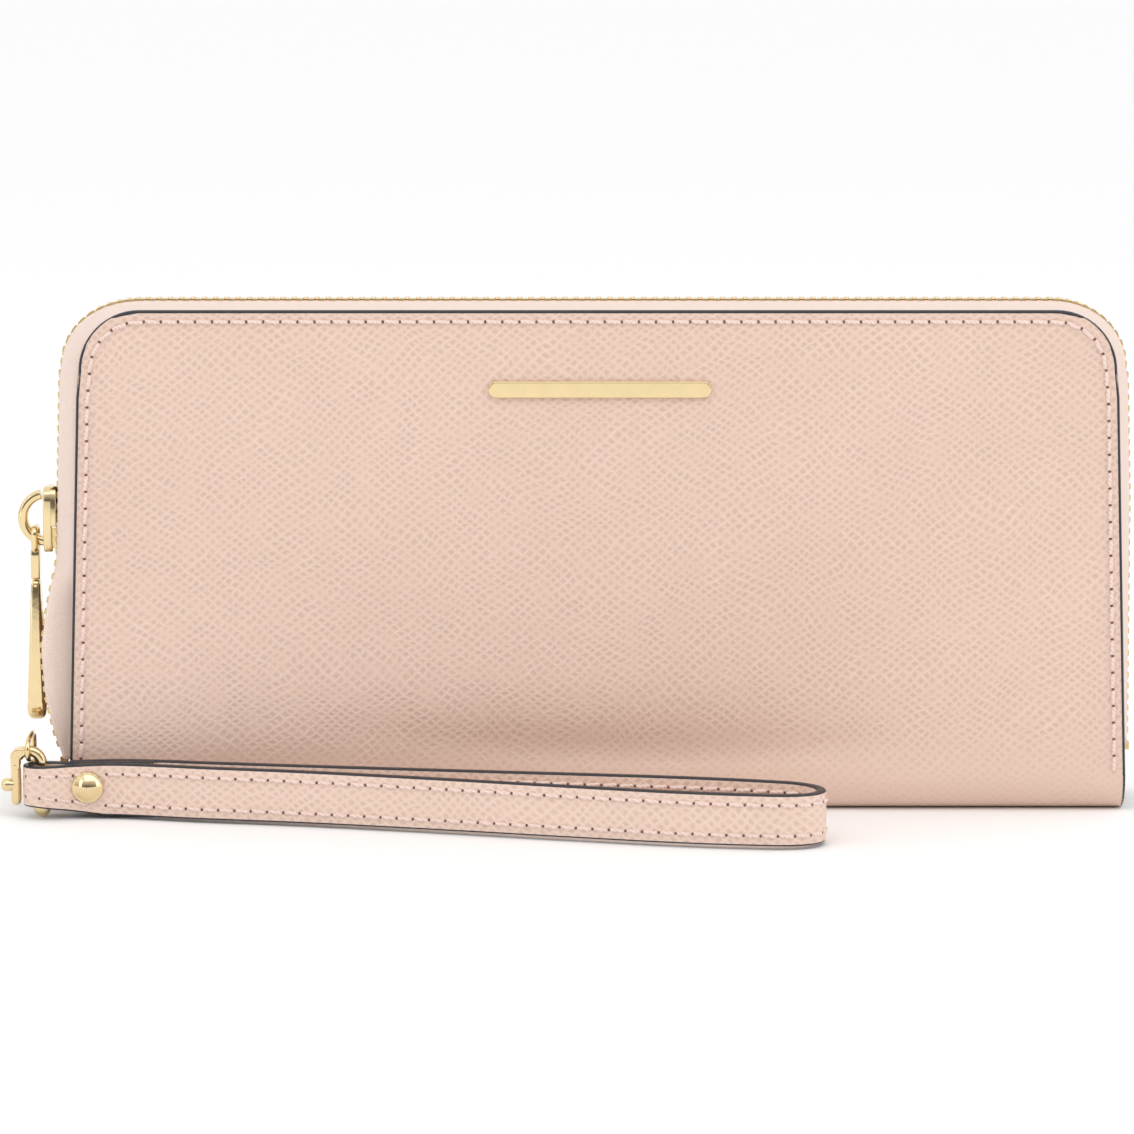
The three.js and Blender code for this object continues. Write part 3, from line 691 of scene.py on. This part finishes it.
def build_tape(name, s, body, node):
    V, UVs, F = [], [], []
    T = 0.3
    NSEC = len(tape_section(ZP[0]))
    for lay in (1, -1):
        for p, sl in zip(ZP, ZS):
            sec = tape_section(p)
            acc = 0.0
            for j, (n, y) in enumerate(sec):
                q0, q1 = sec[max(0, j - 1)], sec[min(NSEC - 1, j + 1)]
                dn, dy = q1[0] - q0[0], q1[1] - q0[1]
                L = math.hypot(dn, dy) or 1
                if j:
                    acc += math.hypot(n - sec[j - 1][0], y - sec[j - 1][1])
                nn, yy = n + lay * T * dy / L, y - lay * T * dn / L
                V.append((p[0] + p[2] * nn, -s * yy, p[1] + p[3] * nn))
                UVs.append((sl * MM, acc * MM))
    m, R = NSEC, len(ZP)
    off = R * m
    for i in range(R - 1):
        for j in range(m - 1):
            a, b, c, d = i * m + j, i * m + j + 1, (i + 1) * m + j + 1, (i + 1) * m + j
            F.append((a, b, c, d)); F.append((off + a, off + d, off + c, off + b))
        for j in (0, m - 1):
            a, d = i * m + j, (i + 1) * m + j
            F.append((a, d, off + d, off + a))
    for j in range(m - 1):
        for i in (0, R - 1):
            a, b = i * m + j, i * m + j + 1
            F.append((a, b, off + b, off + a))
    ob = make(name, V, F, M_TAPE, body, None, UVs)
    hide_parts(node)
    return ob


# s = -1 keeps the front side's y as written, s = +1 mirrors it to the back
build_tape("zip_tape_front", -1, "front_shell", "front_zip_tape")
build_tape("zip_tape_back", 1, "back_shell", "back_zip_tape")


def along(s):
    """place on the zip path at length s"""
    for i in range(len(ZS) - 1):
        if s <= ZS[i + 1]:
            t = (s - ZS[i]) / (ZS[i + 1] - ZS[i])
            p, q = ZP[i], ZP[i + 1]
            r = [p[k] + (q[k] - p[k]) * t for k in range(4)]
            L = math.hypot(r[2], r[3]); r[2] /= L; r[3] /= L
            return r
    return list(ZP[-1])


def tooth(c, o, t, y, s):
    """one die-cast tooth: a clamp block on the tape and a narrower nib with a rounded head"""
    c, o, t, y = Vector(c), Vector(o), Vector(t), Vector(y)
    w = 0.56
    outl = [(-0.75, 0.62), (0.25, 0.66), (0.62, 0.52), (1.25, 0.40), (1.75, 0.44), (2.05, 0.30), (2.12, 0.0)]
    ring = [(a, b) for a, b in outl] + [(a, -b) for a, b in reversed(outl[:-1])]
    V, F = [], []
    n = len(ring)
    for h, sc in ((-w, 0.8), (-w * 0.78, 1.0), (w * 0.78, 1.0), (w, 0.8)):
        for a, b in ring:
            V.append(tuple(c + y * a * s * (1 if sc == 1 else 0.96) + t * b * 0.92 * sc + o * h * 1.25))
    for i in range(3):
        for k in range(n):
            F.append((i * n + k, i * n + (k + 1) % n, (i + 1) * n + (k + 1) % n, (i + 1) * n + k))
    F.append(tuple(reversed(range(n)))); F.append(tuple(3 * n + k for k in range(n)))
    return V, F


def build_teeth(name, s, body, node, phase):
    parts = []
    pitch = 2.14
    L = ZS[-1]
    k = 0
    while phase + k * pitch < L - 1.0:
        sl = phase + k * pitch; k += 1
        if sl < 0.8:
            continue
        p = along(sl)
        n, dy = chain_at(p)
        o = Vector((p[2], 0, p[3])); t = Vector((-p[3], 0, p[2]))
        if p[0] < 0 and p[1] < 48:
            q = along(sl + 0.4); nq, _ = chain_at(q)
            d = Vector((q[0] + q[2] * nq - p[0] - p[2] * n, 0, q[1] + q[3] * nq - p[1] - p[3] * n))
            t = d.normalized()
        c = (p[0] + p[2] * n, s * -1 * (-1.55 + dy) * -1 if False else (-1) * s * (-1.55 + dy), p[1] + p[3] * n)
        parts.append(tooth(c, o, t, (0, 1, 0), -s))
    v, f = join(parts, name)
    ob = make(name, v, f, M_TOOTH, body, smooth=False)
    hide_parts(node)
    # the cord that the teeth are clamped on
    pts = []
    for p in ZP[::2]:
        n, dy = chain_at(p)
        pts.append((p[0] + p[2] * n, -s * (-1.85 + dy), p[1] + p[3] * n))
    v, f = tube(pts, 0.42, 8, up=(0, 1, 0))
    make(name + "_cord", v, f, M_TAPE, body, None, [(0, 0)] * len(v))
    return ob


build_teeth("zip_teeth_front", -1, "front_shell", "front_zip_teeth", 0.6)
build_teeth("zip_teeth_back", 1, "back_shell", "back_zip_teeth", 0.6 + 1.07)


# ---- metalwork -----------------------------------------------------------------------------------
def metal(name, parts, body, nodes, bw=0.25, seg=3, mat=None, angle=30):
    v, f = join(parts, name)
    ob = make(name, v, f, mat or M_GOLD, body)
    if bw:
        bevel(ob, bw, seg, angle)
    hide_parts(*nodes)
    return ob


S0, S1 = 48.5, 61.0
wing = [(-2.4, S0), (2.4, S0), (3.4, S0 + 1.2), (3.9, S0 + 3.2), (3.9, S1 - 2.6), (3.3, S1 - 0.9), (2.2, S1), (-2.2, S1), (-3.3, S1 - 0.9), (-3.9, S1 - 2.6), (-3.9, S0 + 3.2), (-3.4, S0 + 1.2)]
metal("slider_shell", [prism(wing, "x", -105.5, -103.8)], "zip_slider", ["slider_body"], 0.45, 4)
metal("slider_back_plate", [prism(wing, "x", -101.25, -100.55)], "zip_slider", [], 0.25, 3)
metal("slider_post", [boxy(-103.9, -101.1, -0.25, 0.25, S0 + 0.4, S0 + 4.2)], "zip_slider", [], 0.08, 2)
for sy, nm in ((-1, "slider_flange_front"), (1, "slider_flange_back")):
    side = [(sy * a, z) for a, z in ((2.7, 53.6), (3.85, 53.6), (3.85, S1 - 2.6), (3.25, S1 - 0.9), (2.7, S1 - 0.4))]
    metal(nm, [prism(side, "x", -104.4, -102.98)], "zip_slider", [], 0.28, 4)
# C-shaped bridge: rounded flat band, open at the top
bpts = [(BC[0] + (BR0 + BR1) / 2 * math.cos(math.radians(a)), 0.0, BC[1] + (BR0 + BR1) / 2 * math.sin(math.radians(a))) for a in [103 + i * 3.5 for i in range(46)]]
bpts = [b for b in bpts if b[0] < -105.9 or b[2] < 53]
bpts += [(-105.2, 0.0, BC[1] - (BR0 + BR1) / 2)]
bv, bf = tube(bpts, 0.9, 20, squash=(0.95, 1.5), up=(0, 1, 0), power=0.6)
metal("slider_bridge_band", [(bv, bf)], "zip_slider", ["slider_bridge"], 0.12, 2, angle=60)


def ring_yz(cx, w, z0, z1, r, n=8):
    pts = []
    for y, z in arc(w - r, z1 - r, r, 0, 90, n) + arc(-(w - r), z1 - r, r, 90, 180, n) + arc(-(w - r), z0 + r, r, 180, 270, n) + arc(w - r, z0 + r, r, 270, 360, n):
        pts.append((cx, y, z))
    out = [pts[0]]
    for p in pts[1:]:
        if (Vector(p) - Vector(out[-1])).length > 0.02:
            out.append(p)
    if (Vector(out[0]) - Vector(out[-1])).length < 0.02:
        out.pop()
    return out


metal("link_eye", [tube(ring_yz(PULL_X, 2.6, 48.7, 53.0, 1.2), 0.5, 14, closed=True, squash=(0.5, 0.62), up=(1, 0, 0))], "pull_link", ["puller_link"], 0)
stem = [(-1.85, 43.15), (1.85, 43.15), (2.15, 43.7), (2.15, 47.6), (1.9, 49.0), (-1.9, 49.0), (-2.15, 47.6), (-2.15, 43.7)]
metal("link_stem", [prism(stem, "x", PULL_X - 0.85, PULL_X + 0.85)], "pull_link", [], 0.28, 3)
knuck = [(-0.72, 43.6)] + [(x, z) for x, z in arc(0, PIN_Z, 0.75, 180, 360, 12)] + [(0.72, 43.6)]
metal("link_knuckle", [prism([(PULL_X + x, z) for x, z in knuck], "y", -0.9, 0.9)], "pull_link", [], 0.1, 2)

# tapered tab: lofted sections, thicker and wider towards the rounded end
secs = [(42.1, 0.2, 1.6), (41.95, 0.5, 1.95), (41.6, 0.8, 2.1), (41.2, 0.9, 2.15), (39.5, 0.96, 2.45), (33, 1.2, 2.85), (26, 1.48, 3.25), (20.0, 1.74, 3.55), (19.4, 1.78, 3.6), (19.0, 1.66, 3.5), (18.6, 1.84, 3.6), (17.4, 1.86, 3.6), (16.3, 1.7, 3.3), (15.6, 1.3, 2.7), (15.3, 0.7, 1.8)]


def rrect(a, b, r, n=4):
    out = []
    for cx, cy, a0 in ((a - r, b - r, 0), (-(a - r), b - r, 90), (-(a - r), -(b - r), 180), (a - r, -(b - r), 270)):
        out += arc(cx, cy, r, a0, a0 + 90, n)
    return out


V, F = [], []
for z, a, b in [(q + 0.8, a, b) for q, a, b in secs]:
    for x, y in rrect(a, b, min(a, b) * 0.5):
        V.append((PULL_X + x, y, z))
n = 20
for i in range(len(secs) - 1):
    for k in range(n):
        F.append((i * n + k, i * n + (k + 1) % n, (i + 1) * n + (k + 1) % n, (i + 1) * n + k))
F.append(tuple(range(n))); F.append(tuple(reversed(range((len(secs) - 1) * n, len(secs) * n))))
tab = make("puller_tab_body", V, F, M_GOLD, "pull_tab")
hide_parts("puller_tab")
tab.modifiers.new("wn", "WEIGHTED_NORMAL")
metal("puller_pin_heads", [tube([(PULL_X, y, PIN_Z) for y in (-2.3, -2.22, 2.22, 2.3)], 0.36, 14, up=(0, 0, 1))], "pull_tab", ["puller_pin"], 0.05, 2)

# plain bar badge in place of lettering, with a bright bevel
bar = arc(19.8, 80.8, 1.6, -90, 90, 12) + arc(-19.0, 80.8, 1.6, 90, 270, 12)
metal("badge_plate", [prism(bar, "y", -13.15, -12.2)], "front_shell", ["badge_bar"], 0.34, 4)

# side ring
link = [(-7.4, 3.4), (-7.4, 7), (-7.4, 11), (-7.4, 13.9), (-8.5, 15.0), (-13, 15.0), (-17.2, 15.0), (-18.6, 14.4), (-19.2, 13.0), (-18.6, 11.6), (-17.2, 11.0), (-14.4, 11.0), (-13.0, 10.0), (-9.2, 3.9), (-8.3, 3.0), (-7.7, 2.9)]


def catmull(pts, k, closed=True):
    P = [Vector(p) for p in pts]; n = len(P); out = []
    for i in range(n if closed else n - 1):
        p0, p1, p2, p3 = (P[(i - 1) % n], P[i], P[(i + 1) % n], P[(i + 2) % n]) if closed else (P[max(0, i - 1)], P[i], P[i + 1], P[min(n - 1, i + 2)])
        for j in range(k):
            t = j / k
            out.append(0.5 * ((2 * p1) + (p2 - p0) * t + (2 * p0 - 5 * p1 + 4 * p2 - p3) * t * t + (3 * p1 - p0 - 3 * p2 + p3) * t ** 3) * 1.0)
    if not closed:
        out.append(P[-1])
    return out


sub = []
for a, b in zip(link, link[1:] + link[:1]):
    sub.append(a); sub.append(((a[0] + b[0]) / 2, (a[1] + b[1]) / 2))
for _ in range(2):
    sub = [((sub[i - 1][0] + 2 * sub[i][0] + sub[(i + 1) % len(sub)][0]) / 4, (sub[i - 1][1] + 2 * sub[i][1] + sub[(i + 1) % len(sub)][1]) / 4) for i in range(len(sub))]
metal("side_ring_wire", [tube([(RING_X, y, z) for y, z in sub], 0.5, 14, closed=True, up=(1, 0, 0))], "ring", ["side_ring"], 0)

# clasp: cast hook, post with a rounded foot, ears and gate
hook = [(POST_X, POST_Y, z) for z in (1.6, 3.0, 5.0, 7.5)]
hook += [(x, POST_Y, z) for x, z in arc((POST_X + GATE_X) / 2, 10.3, (POST_X - GATE_X) / 2, 0, 150, 18)]
V1 = tube(hook, 1.0, 18, up=(0, 1, 0))
metal("clasp_hook", [V1], "clasp", ["clasp_body"], 0)
foot = []
for i in range(11):
    a = -90 + 180 * i / 10 * 0.92
    foot.append((1.7 * math.cos(math.radians(a)), 2.1 + 1.95 * math.sin(math.radians(a))))
V, F = [], []
for r, z in foot:
    for k in range(24):
        an = 2 * math.pi * k / 24
        V.append((POST_X + max(r, 0.03) * math.cos(an), POST_Y + max(r, 0.03) * math.sin(an), z))
for i in range(len(foot) - 1):
    for k in range(24):
        F.append((i * 24 + k, i * 24 + (k + 1) % 24, (i + 1) * 24 + (k + 1) % 24, (i + 1) * 24 + k))
F.append(tuple(reversed(range(24)))); F.append(tuple((len(foot) - 1) * 24 + k for k in range(24)))
metal("clasp_foot", [(V, F)], "clasp", [], 0)
cheek = [(-0.95, 11.2), (-0.9, 12.2), (-0.2, 13.2), (0.9, 13.45), (2.2, 13.2), (2.0, 12.2), (1.0, 11.4)]
metal("clasp_shoulder", [prism([(GATE_X + x, z) for x, z in cheek], "y", POST_Y - 1.6, POST_Y + 1.6)], "clasp", [], 0.35, 4)
for sy, nm in ((-1, "clasp_ear_front"), (1, "clasp_ear_back")):
    y0, y1 = sorted((POST_Y + sy * 1.3, POST_Y + sy * 1.75))
    ear = [(0.8, 11.8), (-0.8, 11.8)] + arc(0, 10.0, 0.8, 180, 360, 10)
    metal(nm, [prism([(GATE_X + x, z) for x, z in ear], "y", y0, y1)], "clasp", [], 0.1, 2)
metal("gate_pin_heads", [tube([(GATE_X, POST_Y + y, GATE_Z) for y in (-1.85, -1.8, 1.8, 1.85)], 0.34, 14, up=(0, 0, 1))], "clasp", ["gate_pin"], 0.04, 2)
gate = [(0.35, 2.35), (0.75, 2.6), (0.98, 3.2), (0.98, 5.0), (1.04, 6.2), (0.98, 7.4), (0.95, 9.2), (0.8, 10.1), (0.5, 10.6), (0.15, 10.72)]
V, F = [], []
for r, z in gate:
    for k in range(22):
        an = 2 * math.pi * k / 22
        V.append((GATE_X + r * math.cos(an), POST_Y + r * math.sin(an), z))
for i in range(len(gate) - 1):
    for k in range(22):
        F.append((i * 22 + k, i * 22 + (k + 1) % 22, (i + 1) * 22 + (k + 1) % 22, (i + 1) * 22 + k))
F.append(tuple(reversed(range(22)))); F.append(tuple((len(gate) - 1) * 22 + k for k in range(22)))
knob = [(0.0, 1.0), (-0.6, 1.05), (-1.1, 1.22), (-1.9, 1.28), (-2.4, 1.12), (-2.75, 0.7), (-2.84, 0.2)]
V2, F2 = [], []
for x, r in knob:
    for k in range(22):
        an = 2 * math.pi * k / 22
        V2.append((GATE_X + x, POST_Y + r * math.cos(an), 6.2 + r * math.sin(an)))
for i in range(len(knob) - 1):
    for k in range(22):
        F2.append((i * 22 + k, i * 22 + (k + 1) % 22, (i + 1) * 22 + (k + 1) % 22, (i + 1) * 22 + k))
F2.append(tuple(reversed(range(22)))); F2.append(tuple((len(knob) - 1) * 22 + k for k in range(22)))
metal("gate_lever", [(V, F), (V2, F2)], "clasp_snap", ["clasp_gate"], 0)

# rivet: polished dome with a rolled rim, and its shank
dome = [(0.02, 1.55), (0.6, 1.5), (1.2, 1.34), (1.75, 1.08), (2.2, 0.78), (2.5, 0.52), (2.62, 0.44), (2.72, 0.5), (2.86, 0.46), (2.94, 0.3), (2.95, 0.12), (2.85, 0.0), (0.9, 0.0), (0.9, -6.2), (0.02, -6.2)]
V, F = [], []
for r, h in dome:
    for k in range(40):
        an = 2 * math.pi * k / 40
        V.append((RIVET_X + r * math.cos(an), -19.32 - h, RIVET_Z + r * math.sin(an)))
for i in range(len(dome) - 1):
    for k in range(40):
        F.append((i * 40 + k, i * 40 + (k + 1) % 40, (i + 1) * 40 + (k + 1) % 40, (i + 1) * 40 + k))
F.append(tuple(range(40))); F.append(tuple(reversed(range((len(dome) - 1) * 40, len(dome) * 40))))
metal("rivet_cap", [(V, F)], "wrist_strap", ["rivet"], 0)


# ---- wrist strap ------------------------------------------------------------------------------------
L1, L2, L3, TH, LR = -14.05, -16.05, -18.05, 0.85, 2.65
ctrl = [(-84.0, L2), (-90, L2), (-96.2, L2), (-99.5, L2 + 0.35), (-102.3, POST_Y + LR - 0.45)]
ctrl += arc(POST_X, POST_Y, LR, 82, 278, 12)
ctrl += [(-102.3, POST_Y - LR + 0.45), (-99.5, L3 - 0.35), (-96.2, L3), (-90, L3 - 0.1), (-75.4, -21.6), (-55, -25.6), (-30, -32.0), (-5, -39.0), (14, -44.0), (28, -46.4),
         (35.5, -46.8), (39.4, -45.2), (41.0, -42.0), (40.2, -38.4), (36.8, -35.2), (30, -33.0),
         (14, -29.6), (-5, -26.8), (-30, -23.4), (-55, -19.8), (-75.4, -16.6), (-88, L1 - 0.25), (-96.2, L1), (-100.0, L1)]


def centripetal(P, per):
    P = [Vector((a, b)) for a, b in P]
    E = [P[0] * 2 - P[1]] + P + [P[-1] * 2 - P[-2]]
    out = []
    for i in range(1, len(E) - 2):
        p0, p1, p2, p3 = E[i - 1], E[i], E[i + 1], E[i + 2]
        t0 = 0.0; t1 = t0 + (p1 - p0).length ** 0.5; t2 = t1 + (p2 - p1).length ** 0.5; t3 = t2 + (p3 - p2).length ** 0.5
        for k in range(per):
            t = t1 + (t2 - t1) * k / per
            a1 = p0 * ((t1 - t) / (t1 - t0)) + p1 * ((t - t0) / (t1 - t0))
            a2 = p1 * ((t2 - t) / (t2 - t1)) + p2 * ((t - t1) / (t2 - t1))
            a3 = p2 * ((t3 - t) / (t3 - t2)) + p3 * ((t - t2) / (t3 - t2))
            b1 = a1 * ((t2 - t) / (t2 - t0)) + a2 * ((t - t0) / (t2 - t0))
            b2 = a2 * ((t3 - t) / (t3 - t1)) + a3 * ((t - t1) / (t3 - t1))
            out.append(b1 * ((t2 - t) / (t2 - t1)) + b2 * ((t - t1) / (t2 - t1)))
    out.append(P[-1])
    return out


SP = centripetal(ctrl, 6)
Z0, SW = 0.6, 9.5
LOW = [(-112, 2.4), (-106, 2.4), (-99, 1.4), (-93, Z0), (-80, Z0), (60, Z0)]
HIGH = [(-112, 10.2), (-106, 10.2), (-99, Z0 + SW + 0.2), (-93, Z0 + SW + 0.4), (-80, Z0 + SW + 0.5), (60, Z0 + SW)]


def lerp_tab(tab, x):
    for a, b in zip(tab, tab[1:]):
        if x <= b[0]:
            t = max(0.0, (x - a[0]) / (b[0] - a[0]))
            t = t
            return a[1] + (b[1] - a[1]) * t
    return tab[-1][1]


def strap_frame(i):
    a, b = SP[max(0, i - 1)], SP[min(len(SP) - 1, i + 1)]
    t = (b - a).normalized()
    return SP[i], t, Vector((-t.y, t.x))


# section: two flat faces with softly rounded painted edges
V, F, FM, UVs = [], [], [], []
sl = 0.0
NSEC = 0
for i in range(len(SP)):
    p, t, nrm = strap_frame(i)
    if i:
        sl += (SP[i] - SP[i - 1]).length
    z0, z1 = lerp_tab(LOW, p.x), lerp_tab(HIGH, p.x)
    r = 0.34
    h = z1 - z0
    ring = []
    for q in range(9):
        ring.append((TH, z0 + r + (h - 2 * r) * q / 8, 0))
    for a in (30, 60, 90):
        ring.append((TH - r + r * math.cos(math.radians(a)), z1 - r + r * math.sin(math.radians(a)), 1))
    for a in (90, 120, 150):
        ring.append((-TH + r + r * math.cos(math.radians(a)), z1 - r + r * math.sin(math.radians(a)), 1))
    for q in range(9):
        ring.append((-TH, z1 - r - (h - 2 * r) * q / 8, 0))
    for a in (210, 240, 270):
        ring.append((-TH + r + r * math.cos(math.radians(a)), z0 + r + r * math.sin(math.radians(a)), 1))
    for a in (270, 300, 330):
        ring.append((TH - r + r * math.cos(math.radians(a)), z0 + r + r * math.sin(math.radians(a)), 1))
    NSEC = len(ring)
    for (o, z, _) in ring:
        crown = 0.10 * math.sin(math.pi * min(1, max(0, (z - z0) / h))) if abs(abs(o) - TH) < 1e-6 else 0.0
        oo = o + math.copysign(crown, o)
        V.append((p.x + nrm.x * oo, p.y + nrm.y * oo, z))
        UVs.append(((sl if o > 0 else sl + 3.3) * MM, (z + (0 if o > 0 else 40)) * MM))
for i in range(len(SP) - 1):
    for k in range(NSEC):
        k2 = (k + 1) % NSEC
        F.append((i * NSEC + k, i * NSEC + k2, (i + 1) * NSEC + k2, (i + 1) * NSEC + k))
        FM.append(0 if (k < 8 or 15 <= k < 23) else 1)
F.append(tuple(reversed(range(NSEC)))); FM.append(1)
F.append(tuple((len(SP) - 1) * NSEC + k for k in range(NSEC))); FM.append(1)
strap = make("strap_leather", V, F, [M_STRAP, M_EDGE], "wrist_strap", FM, UVs)
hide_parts("strap")

for side in (1, -1):
    for edge in (0, 1):
        pts = []
        for i in range(4, len(SP) - 4):
            p, t, nrm = strap_frame(i)
            z0, z1 = lerp_tab(LOW, p.x), lerp_tab(HIGH, p.x)
            z = z0 + 1.95 if edge == 0 else z1 - 1.95
            oo = side * (TH + 0.07)
            pts.append((p.x + nrm.x * oo, p.y + nrm.y * oo, z))
        parts, holes = [], []
        P = resample(pts, 3.15)
        for a, b in zip(P, P[1:]):
            t = (b - a).normalized(); up = Vector((0, 0, 1)); nn = t.cross(up) * 1.0
            # outward side of the strip
            nn = nn.normalized() * (-1 if side > 0 else 1)
            near_layers = (-101.5 < a.x < -83 and (a.y > -18.6))
            if near_layers:
                continue
            if (Vector((a.x, a.z)) - Vector((RIVET_X, RIVET_Z))).length < 3.3 and a.y < -18.6:
                continue
            s = up
            lift, rt = (0.0, 0.27) if a.x < -101.0 else (0.10, 0.36)
            parts.append(capsule(a + t * 0.26 + s * 0.13 + nn * lift, b - t * 0.26 - s * 0.13 + nn * lift, rt, 7, 2))
            # a dark disc at each needle hole: painted shade
            holes.append(blob(a + nn * 0.03, t * 0.24, s * 0.31, nn * 0.09, 8, 4))
        nm = "strap_stitch_%s_%s" % ("a" if side > 0 else "b", "low" if edge == 0 else "high")
        v, f = join(parts, nm)
        make(nm, v, f, M_THREAD, "wrist_strap")
        v, f = join(holes, nm)
        make(nm + "_hole_shade", v, f, M_HOLE_SHADE, "wrist_strap")


# ---- pieces that stay as the solids give them -----------------------------------------------------------
def dress(node, mat, width=None):
    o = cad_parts[node]
    o.data.materials.clear() if len(o.material_slots) == 0 else None
    if len(o.material_slots) == 0:
        o.data.materials.append(mat)
    for s in o.material_slots:
        s.material = mat
    if width:
        b = o.modifiers.new("edge", "BEVEL"); b.width = width * MM; b.segments = 2; b.limit_method = "ANGLE"; b.angle_limit = math.radians(40)


for nm in ("front_card_tier_1", "front_card_tier_2", "front_card_tier_3", "back_card_tier_1", "back_card_tier_2", "back_card_tier_3"):
    dress(nm, M_INNER, 0.2)
for nm in ("front_lining", "back_lining", "spine_lining", "front_gusset_left", "front_gusset_right", "back_gusset_left", "back_gusset_right", "coin_pocket"):
    dress(nm, M_LINING)
for nm in ("front_board", "back_board", "spine_board"):
    dress(nm, M_BOARD)
for nm in ("coin_zip_chain", "front_top_stop", "back_top_stop", "bottom_stop"):
    dress(nm, M_TOOTH, 0.2)
dress("coin_zip_tape", M_LINING)
dress("coin_slider", M_GOLD, 0.3)
dress("coin_puller", M_GOLD, 0.3)
dress("ring_tab", M_INNER, 0.4)


# ---- floor and light ----------------------------------------------------------------------------------------
me = bpy.data.meshes.new("floor")
me.from_pydata([(-6, -6, 0), (6, -6, 0), (6, 6, 0), (-6, 6, 0)], [], [(0, 1, 2, 3)])
floor = bpy.data.objects.new("floor", me)
bpy.context.scene.collection.objects.link(floor)
floor.location.z = -0.0001
fm = bpy.data.materials.new("floor"); fm.use_nodes = True
fm.node_tree.nodes["Principled BSDF"].inputs["Base Color"].default_value = (0.95, 0.95, 0.95, 1)
fm.node_tree.nodes["Principled BSDF"].inputs["Roughness"].default_value = 0.9
me.materials.append(fm)

world = bpy.data.worlds.new("studio")
bpy.context.scene.world = world
world.use_nodes = True
wt = world.node_tree
tc = wt.nodes.new("ShaderNodeTexCoord")
sx = wt.nodes.new("ShaderNodeSeparateXYZ")
wt.links.new(tc.outputs["Generated"], sx.inputs[0])
wr = wt.nodes.new("ShaderNodeValToRGB")
wr.color_ramp.elements[0].position = 0.30; wr.color_ramp.elements[0].color = (0.16, 0.16, 0.17, 1)
wr.color_ramp.elements[1].position = 0.66; wr.color_ramp.elements[1].color = (1.0, 1.0, 1.0, 1)
wy = wt.nodes.new("ShaderNodeMath"); wy.operation = "MULTIPLY_ADD"; wy.inputs[1].default_value = 0.55
wt.links.new(sx.outputs[1], wy.inputs[0]); wt.links.new(sx.outputs[2], wy.inputs[2])
wm = wt.nodes.new("ShaderNodeMapRange")
wm.inputs[1].default_value, wm.inputs[2].default_value = -1.0, 1.0
wt.links.new(wy.outputs[0], wm.inputs[0]); wt.links.new(wm.outputs[0], wr.inputs[0])
wt.links.new(wr.outputs[0], wt.nodes["Background"].inputs[0])
wt.nodes["Background"].inputs[1].default_value = 1.08


def area(name, loc, target, size, power, col=(1, 1, 1)):
    d = bpy.data.lights.new(name, "AREA")
    d.shape = "RECTANGLE"; d.size, d.size_y = size
    d.energy = power; d.color = col
    o = bpy.data.objects.new(name, d)
    bpy.context.scene.collection.objects.link(o)
    o.location = loc
    o.rotation_euler = (Vector(target) - Vector(loc)).to_track_quat("-Z", "Y").to_euler()
    return o


area("key_top", (0.10, -0.55, 0.80), (0, 0, 0.04), (1.1, 0.5), 1.9)
area("fill_left", (-0.85, -0.7, 0.35), (0, 0, 0.05), (0.35, 0.8), 1.2)
area("fill_right", (0.85, -0.5, 0.30), (0, 0, 0.05), (0.30, 0.7), 1.1)

bpy.context.scene.view_settings.view_transform = "Standard"
